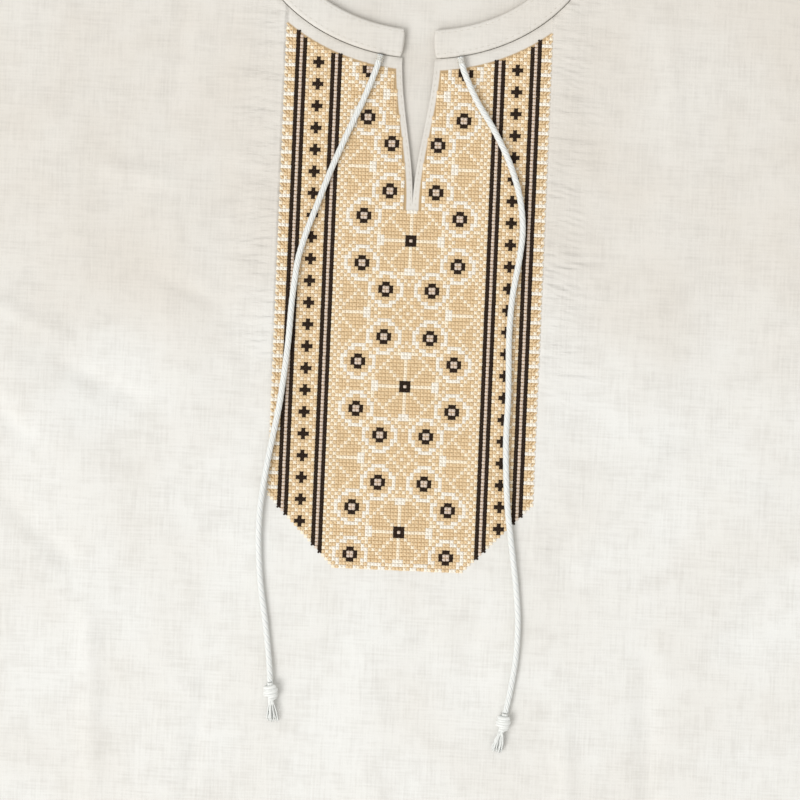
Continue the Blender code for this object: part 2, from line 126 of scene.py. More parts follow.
# Places that follow from the sizes
BAND_PEAK = (BAND_TURN_RADIUS + BAND_WIDTH / 2) * math.sin(BAND_TURN)
SHOULDER_Y = (BODY_LENGTH - BAND_PEAK) / 2
HEM_Y = SHOULDER_Y - BODY_LENGTH
MOTIF_Y = SHOULDER_Y - MOTIF_BELOW_SHOULDER
SIDE_X = BODY_WIDTH / 2
NECK_BASE_Y = SHOULDER_Y - FRONT_NECK_DEPTH
SLIT_FOOT_Y = NECK_BASE_Y - SLIT_LENGTH
ARMHOLE_Y = SHOULDER_Y - SLEEVE_TOP_WIDTH
FLAT_LOW_Y = MOTIF_Y - FLAT_BELOW_MOTIF
CHEST_LOW_Y = -0.180
FRONT_TOP = WALL + FLAT_RISE + WALL
BACK_NECK_RADIUS = (NECK_HALF_WIDTH**2 + BACK_NECK_DEPTH**2) / (2 * BACK_NECK_DEPTH)
BACK_NECK_CENTRE_Y = SHOULDER_Y - BACK_NECK_DEPTH + BACK_NECK_RADIUS
BACK_NECK_TURN = math.asin(NECK_HALF_WIDTH / BACK_NECK_RADIUS)
FRONT_NECK_FROM = math.asin(SLIT_HALF_OPENING / NECK_HALF_WIDTH)
SLIT_TOP_Y = SHOULDER_Y - FRONT_NECK_DEPTH * math.cos(FRONT_NECK_FROM)
FRONT_BAND_BOTTOM = FRONT_TOP - WALL + GAP / 3

# Camera, lights and floor
VIEW_ASIDE = -0.0024
VIEW_BELOW_MOTIF = 0.0076
VIEW_TURN = math.radians(2.4)
SENSOR_WIDTH = 36  # millimetres
SKY_COLOUR = (1.0, 0.99, 0.97, 1)
SUN_FROM = (-0.92, -0.52, 1.6)
SUN_ANGLE = math.radians(32)
WINDOW_FROM = (-1.0, -1.1, 1.3)
WINDOW_SIZE = 0.8
LIGHTS_TO = (0, 0.05, 0)
FLOOR_SIZE = 30
FLOOR_DROP = 0.0001  # how far it lies under the blouse, so that the two don't meet


def in_metres(*rows):
    """A table whose rows are written in millimetres."""
    return np.array(rows) / 1000


# Soft folds of the solids in millimetres: x_from, y_from, x_to, y_to, height, and width on each
# side. On the body x and y are measured from the middle and from the motif.
FRONT_FOLDS = in_metres(
    (-270, 60, -150, -90, 2.1, 22),
    (272, 50, 165, -110, 1.9, 24),
    (-135, 150, -118, -60, 1.2, 18),
    (150, 130, 128, -50, 1.3, 20),
    (-205, 180, -190, 50, 1, 20),
    (215, 170, 205, 30, 1.1, 18),
    (-110, -170, -135, -430, 1.9, 22),
    (-30, -250, -38, -430, 1.4, 20),
    (62, -215, 85, -430, 1.8, 22),
    (165, -190, 190, -430, 2, 24),
    (-215, -150, -228, -400, 1.4, 20),
)
# On a sleeve they are measured from the armhole and from the sleeve's middle line.
SLEEVE_FOLDS = {
    -1: in_metres(
        (0, 60, 240, 30, 1.9, 18),
        (20, -70, 200, -30, 2.1, 19),
        (190, 0, 460, 12, 1.7, 18),
        (330, -45, 520, -30, 1.5, 16),
    ),
    1: in_metres(
        (10, 45, 210, 50, 1.8, 18),
        (0, -60, 260, -22, 2.1, 20),
        (240, 20, 520, 4, 1.8, 18),
        (120, 5, 250, 10, 1.2, 16),
    ),
}

# Creases of the cloth itself, given in the same columns. A trough has a height under 0.
FRONT_CREASES = in_metres(
    (-79, 49, -112, 46, -0.42, 2.6),
    (-78, 43, -105, 41, 0.34, 3),
    (-79, 36, -128, 31, -0.4, 3.4),
    (-79, 31, -114, 26.5, -0.5, 2.4),
    (-80, 72, -120, 70, -0.22, 3),
    (-79, 88, -126, 92, 0.26, 4.2),
    (-80, 10, -110, 7, 0.2, 3.4),
    (-79, -12, -118, -19, -0.22, 4),
    (-80, -41, -112, -48, 0.26, 4.6),
    (-76, -66, -120, -80, -0.34, 5),
    (-150, 60, -96, 38, -1.5, 5),
    (79, 58, 108, 60, -0.28, 2.2),
    (79, 46, 121, 47, -0.5, 2.2),
    (79, 38, 106, 37, 0.26, 2.6),
    (78, 19, 122, 21.5, -0.46, 2),
    (78, 10.5, 112, 11.5, -0.34, 2.2),
    (80, -2, 104, -3, 0.22, 3),
    (79, 70, 116, 76, -0.24, 3),
    (79, 86, 122, 93, 0.22, 4),
    (80, -32, 108, -40, -0.22, 4),
    (78, -60, 130, -78, 0.3, 5.2),
    (92, -58, 92, -118, -1, 9),
    (40, -118, 48, -190, -1.25, 4.3),
    (-20, -116, -14, -200, 1.08, 3.7),
    (-52, -110, -64, -186, -1.25, 3.7),
    (8, -112, 20, -170, -0.9, 3.1),
    (-205, 10, -135, -20, -1.7, 6.2),
    (205, 0, 140, -36, -1.7, 6.2),
    (-190, 120, -120, 108, 1.35, 5),
    (190, 126, 125, 112, 1.24, 5),
    (-235, -60, -170, -120, -1.5, 6.2),
    (240, -80, 170, -150, -1.7, 6.8),
    (-175, -100, -165, -260, 1.62, 5.6),
    (140, -120, 150, -280, -1.7, 6.2),
    (-70, -240, -85, -390, -1.5, 5.6),
    (20, -240, 28, -390, 1.62, 5.6),
    (120, -260, 135, -395, 1.35, 5),
    (-245, 200, -255, 80, 1.08, 5),
    (250, 200, 262, 90, 1.08, 5),
    (-250, -180, -262, -330, 1.35, 5),
    (240, -200, 258, -340, 1.35, 5),
    (-274, 20, -196, -52, -1.38, 5),
    (-268, 52, -180, 16, 1.22, 4.8),
    (274, 12, 190, -66, -1.5, 5.2),
    (266, 60, 176, 30, 1.22, 4.6),
    (-100, -140, -122, -300, -1.12, 5),
    (95, -150, 108, -330, 1.35, 5.2),
    (-150, -260, -160, -398, -1.38, 5.8),
    (52, -290, 60, -396, -1.25, 5),
    (-10, -180, -4, -330, 1.08, 4.6),
    (190, -240, 212, -392, 1.49, 5.6),
    (-130, 230, -142, 120, -0.88, 5),
    (136, 226, 150, 124, 0.95, 5),
)
SLEEVE_CREASES = {
    -1: in_metres(
        (0, 20, 120, -10, -1.7, 5.9),
        (10, -95, 110, -55, 1.62, 5.3),
        (60, 85, 260, 62, -1.25, 5.9),
        (220, -10, 330, -40, -1.7, 6.6),
        (300, 50, 480, 40, 1.62, 5.3),
        (370, -10, 495, -4, -1.5, 4.6),
        (400, -62, 498, -50, 1.35, 4.6),
    ),
    1: in_metres(
        (0, 0, 110, -20, -1.7, 6.6),
        (5, 92, 160, 78, 1.35, 5.3),
        (20, -92, 140, -60, -1.5, 5.3),
        (160, 30, 320, 52, -1.5, 5.9),
        (280, -45, 440, -30, 1.89, 5.9),
        (350, 40, 498, 30, -1.5, 5.3),
        (420, -30, 498, -20, 1.35, 4.6),
    ),
}

# Middle line of each cord in millimetres: across, up from the motif's middle, and height above
# the table.
CORD_ROUTES = {
    -1: in_metres(
        (-21.5, 185.7, 6.4),
        (-22.4, 181.5, 6.9),
        (-24.4, 175, 7),
        (-30, 160, 7),
        (-38.5, 140, 7),
        (-46.5, 120, 7),
        (-53.5, 100, 7),
        (-59, 84, 7),
        (-62.7, 70.1, 7),
        (-64.4, 56.5, 7),
        (-65.5, 43.3, 7),
        (-66.7, 19.6, 7),
        (-69.7, -10.9, 7),
        (-72.6, -29, 7),
        (-75.4, -46.1, 7),
        (-77.7, -64.2, 6.9),
        (-78.6, -78, 6.7),
        (-78.4, -91.8, 6.2),
        (-76.5, -113, 6.1),
        (-73, -134, 6.1),
        (-70, -155, 6.1),
        (-68.6, -169, 6.4),
    ),
    1: in_metres(
        (23.5, 186.1, 6.4),
        (24.6, 181.7, 6.9),
        (27.2, 175, 7),
        (34, 161.5, 7),
        (44, 146, 7),
        (53.5, 128, 7),
        (60, 109, 7),
        (62.4, 91, 7),
        (61.4, 75.4, 7),
        (59.6, 63, 7),
        (58, 50, 7),
        (57.3, 29.9, 7),
        (57.9, 10, 7),
        (58.3, -5.5, 7),
        (58, -25, 7),
        (58.6, -42, 7),
        (60.2, -63.5, 7),
        (62.8, -82, 6.9),
        (65, -96, 6.6),
        (67.2, -111, 6.1),
        (69, -130, 6.1),
        (68.6, -150, 6.1),
        (66.2, -169, 6.1),
        (64, -181, 6.4),
    ),
}
KNOT_LENGTH = 0.0100
KNOT_HALF_WIDTH = 0.0045
KNOT_MIDDLE_HEIGHT = 0.0076
KNOT_TURNS = 2.35
WRAP_HALF_SIZE = (0.0013, 0.0017)  # half the thickness and half the width of the cord in its knot
CORE_RADIUS = 0.0017
TASSEL_LENGTH = 0.0120
TASSEL_THREADS = 26
TASSEL_THREAD_RADIUS = 0.00040
TASSEL_END_HEIGHT = 0.0058

# The chart: k black, t tan, h half a stitch of tan, c cream, w white and r rose. One star's eighth,
# a row a line, from its middle outwards: row n starts at column n.
STAR_EIGHTH = (
    "rkccccccwwttcttttcttc",
    "kttttttwwtcttttctct",
    "cttttttcctwwwwttt",
    "ctttttctwwttwwt",
    "ctttctwtttttt",
    "ctctwwttkkt",
    "cttwttkrr",
    "ttwttkr",
    "twwtt",
    "tct",
    "t",
)
STAR_SPACING = 20
# Beside the chequers the eighth doesn't hold: the axis ends in a tan block with one cream slant,
# and one stitch is tan.
AXIS_END_FROM, AXIS_END_WIDTH = 17, 3
AXIS_END_SLANT = 15
LONE_TAN = (18, 11)
CHEQUER_FROM = 19  # chequered columns along both sides of the field of stars
CHEQUER_TO = 21
LINE_COLUMNS = {22: "k", 23: "r", 24: "k", 32: "k", 33: "r", 34: "k"}
CROSS_FROM, CROSS_ROW = 25, 2  # the band of small crosses, and the row of one cross's middle
CROSS_BAND = ("ttkkktt", "cttkttc", "tctttct", "ttctctt", "tctttct", "cttkttc")
EDGING_FROM = 35
EDGING = ("tch", "www", "thh", "ttc")

# One leg of a stitch: share of its length and of its width at each ring, and its section from
# edge to edge as shares of its half width and of its height.
LEG_RINGS = ((0.11, 0.80), (0.5, 1.0), (0.89, 0.80))
LEG_SECTION = ((-1.0, 0.0), (-0.58, 1.0), (0.58, 1.0), (1.0, 0.0))

LEG_SUNK = 0.00012  # how deep a leg's ends sit in the cloth
CORNER_LEG_WIDTH = 0.70

# Shares of a leg's width, of its reach over half a stitch across and down, and of its height.
FULLNESS = {
    "t": (1.00, 0.975, 0.900, 1.00),
    "h": (0.85, 1.000, 0.930, 0.95),
    "c": (1.00, 0.985, 0.940, 1.00),
    "w": (1.08, 1.000, 0.975, 1.04),
    "r": (0.86, 0.920, 0.780, 1.10),
    "k": (1.10, 1.200, 1.240, 1.16),
}
THREADS = {
    "t": ("tan", "thread_tan"),
    "c": ("cream", "thread_cream"),
    "w": ("white", "thread_white"),
    "r": ("rose", "thread_rose"),
    "k": ("black", "thread_black"),
}


def colour_setting(name, description, default):
    return FloatVectorProperty(
        name=name, description=description, default=default, subtype="COLOR", min=0, max=1
    )


def length_setting(name, description, default, low, high):
    return FloatProperty(
        name=name, description=description, default=default, min=low, max=high, unit="LENGTH"
    )


def amount_setting(name, description, default, high, **kind):
    return FloatProperty(
        name=name, description=description, default=default, min=0, max=high, **kind
    )


class LinenSettings(bpy.types.PropertyGroup):
    """The cloth."""

    colour: colour_setting("Colour", "Linen, unbleached and washed soft", (0.746, 0.744, 0.716))
    thread_spacing: length_setting(
        "Thread spacing", "Between neighbouring threads of the weave", 0.0005, 0.0002, 0.002
    )
    crease_depth: amount_setting(
        "Crease depth", "Share of the hand-placed creases' depth", 1.0, 2, subtype="FACTOR"
    )


class StitchSettings(bpy.types.PropertyGroup):
    """The embroidery threads."""

    tan: colour_setting("Tan", "Thread of the petals and the ground", (0.775, 0.588, 0.356))
    cream: colour_setting("Cream", "Thread of the fine light lines", (0.925, 0.820, 0.645))
    white: colour_setting(
        "White", "Thread of the star's axes and the rings' frames", (0.893, 0.845, 0.750)
    )
    rose: colour_setting(
        "Rose", "Thread between the black lines and inside the rings", (0.745, 0.620, 0.520)
    )
    black: colour_setting(
        "Black", "Thread of the lines, crosses and rings", (0.0245, 0.0140, 0.0085)
    )
    width: length_setting("Thread width", "Width of one leg of a stitch", 0.00142, 0.0003, 0.0018)
    rise: length_setting(
        "Stitch height", "Height of a stitch's crossing above the cloth", 0.00074, 0.0003, 0.0013
    )


class CordSettings(bpy.types.PropertyGroup):
    """The two tie cords."""

    colour: colour_setting("Colour", "White cotton", (0.80, 0.81, 0.785))
    diameter: length_setting("Diameter", "Across all strands", 0.0035, 0.002, 0.005)
    twist: length_setting(
        "Twist length", "Length in which a strand goes once round", 0.0126, 0.008, 0.04
    )
    strands: IntProperty(
        name="Strands", description="Strands laid together", default=3, min=2, max=4
    )


class SewingSettings(bpy.types.PropertyGroup):
    """The hems and seams."""

    colour: colour_setting("Colour", "Off-white sewing thread", (0.72, 0.69, 0.62))
    spacing: length_setting(
        "Stitch spacing", "From one running stitch to the next", 0.0036, 0.002, 0.008
    )
    width: length_setting("Thread width", "Width of the sewing thread", 0.00034, 0.0002, 0.0006)


class StageSettings(bpy.types.PropertyGroup):
    """The camera, the lights and the floor."""

    view_width: length_setting(
        "View width", "Width of the cloth that the camera sees", 0.450, 0.1, 3
    )
    camera_height: length_setting(
        "Camera height", "Height of the camera above the cloth", 1.6, 0.5, 5
    )
    sun: amount_setting("Sun", "Strength of the soft light from the left", 1.42, 10)
    window: amount_setting(
        "Window", "Power of the near lamp at the lower left", 6.5, 200, unit="POWER"
    )
    sky: amount_setting(
        "Sky", "Strength of the even light from all round", 0.765, 3, subtype="FACTOR"
    )
    floor_colour: colour_setting("Floor colour", "Pale matt floor", (0.52, 0.505, 0.48))


def smooth(share):
    """0 up to 0, 1 from 1 on, and an easy curve between."""
    share = np.clip(share, 0.0, 1.0)
    return share * share * (3 - 2 * share)


def between(low, high, share):
    """The value this share of the way from low to high."""
    return low + (high - low) * share


def unit(vectors):
    """The same directions, each 1 long."""
    return vectors / np.linalg.norm(vectors, axis=-1, keepdims=True)


def run_along(points):
    """How far along a line of points each of them lies."""
    steps = np.linalg.norm(np.diff(points, axis=0), axis=1)
    return np.concatenate([[0], np.cumsum(steps)])


def at_runs(wanted, run, rows):
    """The rows that belong to these distances along a line."""
    return np.stack([np.interp(wanted, run, column) for column in rows.T], axis=1)


def ridge(x, y, fold):
    """How much one fold lifts the cloth: a rounded ridge that fades out at both ends."""
    x_from, y_from, x_to, y_to, height, width = fold
    run_x, run_y = x_to - x_from, y_to - y_from
    length = math.hypot(run_x, run_y)
    along = ((x - x_from) * run_x + (y - y_from) * run_y) / length
    across = ((x - x_from) * run_y - (y - y_from) * run_x) / length
    fade = 0.35 * length
    ends = smooth(along / fade) * smooth((length - along) / fade)
    return height * ends * np.exp(-((across / width) ** 2))


def lift(x, y, folds):
    """How much all of these folds lift the cloth."""
    return sum(ridge(x, y, fold) for fold in folds)


def front_rise(x, y):
    """Air between the back's upper face and the front's lower face, as in the solids."""
    side_reach, neck_reach, shoulder_reach, hem_reach = 0.060, 0.030, 0.035, 0.100
    beside_reach, below_reach = 0.020, 0.030
    seam = between(0.2, 1, smooth((SIDE_X - abs(x)) / side_reach))
    closed = smooth((abs(x) - NECK_HALF_WIDTH) / neck_reach)
    seam = seam * (1 - closed * (1 - smooth((SHOULDER_Y - y) / shoulder_reach)))
    above_hem = between(0.5, 1, smooth((y - HEM_Y) / hem_reach))
    beside = smooth((abs(x) - FLAT_HALF_WIDTH) / beside_reach)
    below = smooth((FLAT_LOW_Y - y) / below_reach)
    folds = lift(x, y - MOTIF_Y, FRONT_FOLDS)
    return GAP + seam * above_hem * (FLAT_RISE - GAP) + seam * np.maximum(beside, below) * folds


def held_by_stitches(x, y):
    """1 under the embroidery, where the cloth can't crease, and 0 away from it."""
    across = abs(x) / STITCH_ACROSS
    down = (MOTIF_Y - y) / STITCH_DOWN
    inside = np.minimum(LAST_COLUMN + 0.5 - across, CHAMFER_SUM + 0.5 - across - down)
    inside = np.minimum(inside, LAST_ROW + 0.5 - down)
    return smooth(inside / 1.5 + 0.5)


def neckline_x(y):
    """Half the width of the front's neckline at this height: half an ellipse."""
    down = (SHOULDER_Y - y) / FRONT_NECK_DEPTH
    return NECK_HALF_WIDTH * np.sqrt(np.maximum(0.0, 1 - down * down))


def slit_half_gap(y):
    """Half the width of the open slit at this height."""
    return SLIT_HALF_OPENING * smooth((y - SLIT_FOOT_Y) / SLIT_LENGTH)


def stations(*stretches):
    """Increasing places: each stretch is its start, its end and the longest step."""
    found = []
    for start, end, step in stretches:
        count = max(1, math.ceil((end - start) / step - 1e-6))
        found += [between(start, end, i / count) for i in range(count)]
    found.append(stretches[-1][1])
    return np.array(found)


def edged_stations(length, edge, fine, step):
    """Places along a length, close together over an edge at both ends."""
    return stations((0, edge, fine), (edge, length - edge, step), (length - edge, length, fine))


class Reading:
    """A shader socket that takes part in sums as a plain number does."""

    def __init__(self, finish, socket):
        self.finish, self.socket = finish, socket

    def sum_of(self, operation, first, second):
        inputs = {0: first, 1: second}
        return self.finish.node("ShaderNodeMath", {"operation": operation}, inputs)["Value"]

    def __add__(self, other):
        return self.sum_of("ADD", self, other)

    def __sub__(self, other):
        return self.sum_of("SUBTRACT", self, other)

    def __rsub__(self, other):
        return self.sum_of("SUBTRACT", other, self)

    def __mul__(self, other):
        return self.sum_of("MULTIPLY", self, other)

    def __truediv__(self, other):
        return self.sum_of("DIVIDE", self, other)

    def __abs__(self):
        return self.sum_of("ABSOLUTE", self, 0.0)

    __radd__, __rmul__ = __add__, __mul__

    def above(self, other):
        """The larger of the two."""
        return self.sum_of("MAXIMUM", self, other)

    def wave(self):
        """Its sine, from -1 to 1."""
        return self.sum_of("SINE", self, 0.0)

    def share(self, low, high):
        """0 up to low, 1 from high on, and an easy curve between."""
        spread = {"interpolation_type": "SMOOTHSTEP"}
        return self.finish.node("ShaderNodeMapRange", spread, {0: self, 1: low, 2: high})["Result"]


class Finish:
    """A material under construction, with a Principled shader."""

    def __init__(self, name, gloss):
        self.material = bpy.data.materials.new(name)
        self.material.use_nodes = True
        self.tree = self.material.node_tree
        self.shader = self.tree.nodes["Principled BSDF"]
        self.shader.inputs["Specular IOR Level"].default_value = gloss

    def node(self, kind, settings=None, inputs=None):
        """Adds a node and gives its outputs by name. Settings come first, then values or links."""
        made = self.tree.nodes.new(kind)
        for name, value in (settings or {}).items():
            setattr(made, name, value)
        for key, value in (inputs or {}).items():
            named = [one for one in made.inputs if one.enabled and one.name == key]
            self.join(value, named[0] if named else made.inputs[key])
        return {output.name: Reading(self, output) for output in made.outputs if output.enabled}

    def join(self, value, socket):
        if isinstance(value, Reading):
            self.tree.links.new(value.socket, socket)
        else:
            socket.default_value = value

    def set(self, socket, value):
        self.join(value, self.shader.inputs[socket])

    def coordinates(self):
        place = self.node("ShaderNodeTexCoord")["Object"]
        parts = self.node("ShaderNodeSeparateXYZ", inputs={0: place})
        return place, parts["X"], parts["Y"]

    def attribute(self, name):
        """The three numbers that a piece's own attribute holds."""
        place = self.node("ShaderNodeAttribute", {"attribute_name": name})["Vector"]
        parts = self.node("ShaderNodeSeparateXYZ", inputs={0: place})
        return parts["X"], parts["Y"], parts["Z"]

    def noise(self, place, scale, detail=2.0, stretch=(1, 1, 1)):
        """Soft random values from 0 to 1, with this many grains a metre."""
        grains = {0: place, 1: tuple(scale * one for one in stretch)}
        place = self.node("ShaderNodeVectorMath", {"operation": "MULTIPLY"}, grains)["Vector"]
        inputs = {0: place, "Scale": 1.0, "Detail": detail}
        return self.node("ShaderNodeTexNoise", inputs=inputs)["Fac"]

    def blend(self, share, first, second):
        """A colour between two colours."""
        inputs = {"Factor": share, "A": first, "B": second}
        return self.node("ShaderNodeMix", {"data_type": "RGBA"}, inputs)["Result"]

    def raise_surface(self, height):
        """Bumps the surface by this height in metres."""
        inputs = {"Height": height, "Distance": 1.0, "Strength": 1.0}
        self.set("Normal", self.node("ShaderNodeBump", inputs=inputs)["Normal"])


def shade(colour, factor, warmth=0.0):
    """The colour made darker or lighter, and warmer with less green and blue. It is opaque."""
    red, green, blue = (min(1.0, channel * factor) for channel in colour)
    return (red, green * (1 - warmth / 2), blue * (1 - warmth), 1.0)


def under_stitches(x, y):
    """1 where the panel covers the cloth, within the limits of on_panel, and 0 elsewhere: where
    painted stitch shade goes.
    """
    half_stitch, side_cover, stitches_to_neck = 0.5, 0.3, 20
    across = abs(x) / STITCH_ACROSS
    down = (MOTIF_Y - y) / STITCH_DOWN
    beside = across - LAST_COLUMN - side_cover
    past_chamfer = across + down - CHAMFER_SUM - half_stitch
    outside = beside.above(past_chamfer).above(down - LAST_ROW - half_stitch)
    wide = x / (NECK_HALF_WIDTH + NECK_MARGIN)
    deep = (SHOULDER_Y - y) / (FRONT_NECK_DEPTH + NECK_MARGIN)
    outside = outside.above((1 - wide * wide - deep * deep) * stitches_to_neck)
    gap = y.share(SLIT_FOOT_Y, SLIT_FOOT_Y + SLIT_LENGTH) * SLIT_HALF_OPENING + SLIT_MARGIN
    in_slit = 0 - (abs(x) - gap).above(SLIT_FOOT_Y - SLIT_MARGIN - y)
    return 1 - outside.above(in_slit / STITCH_ACROSS).share(-half_stitch, 0.0)


def puckers(finish, place, x, y):
    """Short uneven waves of the cloth, drawn in beside the embroidery. They fade outwards."""
    ripple_depth, tuft_depth = 0.00015, 0.00240
    starts, ends, raggedness = (0.0735, 0.0765), (0.080, 0.112), 0.044
    low_strength, high_strength = 0.30, 0.70
    slant, wander_reach = 0.25, 0.005
    ragged = abs(x) + finish.noise(place, 1, 2, (10, 95, 10)) * raggedness - raggedness / 2
    beside = abs(x).share(*starts) * (1 - ragged.share(*ends))
    strength = y.share(MOTIF_Y - 0.115, MOTIF_Y - 0.085) * low_strength
    strength = strength + y.share(MOTIF_Y - 0.012, MOTIF_Y + 0.022) * high_strength
    wander = finish.noise(place, 60, 2) * wander_reach
    ripples = ((y + abs(x) * slant + wander) * (math.pi / STITCH_DOWN)).wave()
    patches = finish.noise(place, 1, 2, (60, 45, 60)).share(0.42, 0.62)
    tufts = finish.noise(place, 1, 3, (38, 165, 38))
    return beside * strength * (ripples * patches * ripple_depth + tufts * tuft_depth)


def linen_finish(settings, puckered=False):
    """A plain weave with uneven threads and soft stains of tone, painted shade in the weave's gaps
    and warm painted shade up the chest, and, beside embroidery, puckers and painted shade under the
    stitches.
    """
    thread_depth, slub_depth, mottle_depth = 0.00007, 0.00014, 0.00046
    painted_gap_shade, slub_darkness, mottle_darkness = 0.16, 0.50, 0.52
    patch_warmth, painted_shade_to_shoulders = 0.36, 0.55
    weft_spread, wander_reach = 1.025, 0.0009
    painted_stitch_shade = (0.46, 0.32, 0.17, 1.0)
    finish = Finish("linen_puckered" if puckered else "linen", gloss=0.25)
    place, x, y = finish.coordinates()
    spacing = settings.thread_spacing
    wander = finish.noise(place, 55) * wander_reach
    warp = ((x + wander) * (math.pi / spacing)).wave()
    weft = ((y + wander) * (math.pi / spacing / weft_spread)).wave()
    over = warp * weft
    threads = (abs(warp) * (0.6 + over * 0.4)).above(abs(weft) * (0.6 - over * 0.4))
    slubs = finish.noise(place, 1, 3, (55, 900, 55)) + finish.noise(place, 1, 3, (900, 55, 55))
    mottle = finish.noise(place, 90, 4)
    height = threads * thread_depth + slubs * slub_depth + mottle * mottle_depth
    warmth = finish.noise(place, 16, 4).share(0.28, 0.72) * patch_warmth
    # Painted warm shade on all the linen, growing up the chest towards the shoulders.
    chest = (y + finish.noise(place, 14, 3) * 0.05).share(MOTIF_Y, MOTIF_Y + 0.110)
    warmth = warmth + chest * painted_shade_to_shoulders
    if puckered:
        height = height + puckers(finish, place, x, y)
    base = finish.blend(warmth, shade(settings.colour, 1.02), shade(settings.colour, 0.88, 0.12))
    # Darker in the weave's gaps: painted shade. Darker along slubs and mottle: the cloth's own
    # tone.
    tone_and_painted_gap_shade = (1 - threads) * painted_gap_shade + (slubs - 1.0) * slub_darkness
    tone_and_painted_gap_shade = tone_and_painted_gap_shade + (mottle - 0.5) * mottle_darkness
    base = finish.blend(tone_and_painted_gap_shade, base, shade(settings.colour, 0.62, 0.10))
    # Under the stitches the cloth turns dark tan: partly the thread's own colour behind the holes,
    # partly painted shade in the holes.
    if puckered:
        base = finish.blend(under_stitches(x, y), base, painted_stitch_shade)
    finish.set("Base Color", base)
    finish.set("Roughness", 0.82 + slubs * 0.06)
    finish.raise_surface(height)
    return finish.material


def thread_finish(name, colour, roughness, strands=3.0):
    """Twisted cotton: strands side by side along each leg, painted light and shade on the plies and
    painted shade along the edges, and a little unevenness of dye.
    """
    ply_depth, ply_painted_shade, painted_edge_shade, fading = 0.00005, 0.6, 0.25, 0.6
    dark = sum(colour) < 0.5
    finish = Finish(name, gloss=0.12 if dark else 0.3)
    place, _, _ = finish.coordinates()
    along, across, chance = finish.attribute("lay")
    plies = abs(((across * (strands / 2) + along * 1.5) * math.pi).wave())
    dye = finish.noise(place, 26, 3) * 0.5 + chance * 0.5
    # Lighter crowns and darker grooves of the plies: a painted highlight and painted shade.
    lit = plies * ply_painted_shade + (1 - ply_painted_shade)
    base = finish.blend(lit, shade(colour, 0.86, 0.03), shade(colour, 1.03))
    # Painted shade along each leg's edges, where it dips to the cloth.
    edge = abs(across).share(0.60, 1.0) * painted_edge_shade
    base = finish.blend(edge, base, shade(colour, 0.66, 0.06))
    faded = dye.share(0.30, 0.75) * fading
    finish.set("Base Color", finish.blend(faded, base, shade(colour, 0.90, 0.03)))
    finish.set("Roughness", roughness + dye * 0.12)
    finish.raise_surface(plies * ply_depth)
    return finish.material


def cord_finish(settings):
    """Soft white cotton: fine yarns that run round each strand in painted light and shade, with
    painted bluish shade where strands meet.
    """
    yarn_depth, fibre_depth = 0.00007, 0.00006
    yarns_a_metre, yarns_around = 260, 7
    painted_groove_shade, groove_shade_share = (0.48, 0.54, 0.58, 1.0), 0.45
    finish = Finish("cord_cotton", gloss=0.3)
    place, _, _ = finish.coordinates()
    along, around, depth = finish.attribute("lay")
    yarns = abs(((along * yarns_a_metre + around * yarns_around) * math.pi).wave())
    fibres = finish.noise(place, 1600, 2)
    # Lighter and darker stripes along the yarns: painted light and shade.
    light, dark = shade(settings.colour, 1.03), shade(settings.colour, 0.86)
    base = finish.blend(yarns * 0.5 + 0.5, dark, light)
    # Painted bluish shade in the hollows where the strands meet.
    groove_shade = depth.share(0.30, 0.62) * groove_shade_share
    finish.set("Base Color", finish.blend(groove_shade, base, painted_groove_shade))
    finish.set("Roughness", 0.66 + fibres * 0.2)
    finish.raise_surface(yarns * yarn_depth + fibres * fibre_depth)
    return finish.material


def mesh_object(name, points, faces, material):
    """A shaded object from arrays of points and of faces, at the frame's origin."""
    mesh = bpy.data.meshes.new(name)
    mesh.from_pydata(np.asarray(points).tolist(), [], [list(face) for face in faces])
    mesh.materials.append(material)
    mesh.shade_smooth()
    made = bpy.data.objects.new(name, mesh)
    bpy.context.scene.collection.objects.link(made)
    return made


def face_out(piece):
    """Turns every face of a closed mesh outwards."""
    shape = bmesh.new()
    shape.from_mesh(piece.data)
    bmesh.ops.recalc_face_normals(shape, faces=shape.faces)
    shape.to_mesh(piece.data)
    shape.free()


def place_piece(piece, slot, *nodes):
    """Ties a finished piece to the blouse and hides the solids it stands for; slot is not used."""
    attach(piece, BODY)
    if nodes:
        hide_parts(*nodes)
    return piece


def grid_quads(ids, closed=False):
    """Faces between neighbouring rows and columns of a table of point numbers."""
    if closed:
        ids = np.concatenate([ids, ids[:, :1]], axis=1)
    corners = (ids[:-1, :-1], ids[:-1, 1:], ids[1:, 1:], ids[1:, :-1])
    return np.stack([corner.ravel() for corner in corners], axis=1)


def ring_quads(rings, count, closed=False):
    """Faces between neighbouring rings, where the points are numbered ring after ring."""
    return grid_quads(np.arange(count).reshape(rings, -1), closed)


def wall(name, quads, outer, inner, material):
    """A closed wall of cloth: an outer and an inner face on the same quads, and a rim."""
    count = len(outer)
    ends = np.concatenate([quads[:, [i, (i + 1) % 4]] for i in range(4)])
    key = np.sort(ends, axis=1) @ np.array([count, 1])
    _, first, uses = np.unique(key, return_index=True, return_counts=True)
    start, end = ends[first[uses == 1]].T
    rims = np.stack([end, start, start + count, end + count], axis=1)
    faces = np.concatenate([quads, quads[:, ::-1] + count, rims])
    made = mesh_object(name, np.concatenate([outer, inner]), faces.tolist(), material)
    face_out(made)
    made.data.set_sharp_from_angle(angle=SHARP_ANGLE)
    return made


def edge_share(distance, rounding=EDGE_ROUNDING):
    """Thickness of the cloth near its edge, as a share: a half round."""
    near = np.clip(distance / rounding, 0, 1)
    return np.maximum(THIN_EDGE, np.sqrt(np.clip(1 - (1 - near) ** 2, 0, 1)))


def surface(x, y, height):
    """Points from tables of their three coordinates, row after row."""
    return np.stack([x, y, height], axis=2).reshape(-1, 3)


def turned_down(distance, depth):
    """How far an edge bends down to the seam below it."""
    return depth * (1 - smooth(distance / SEAM_TURN))


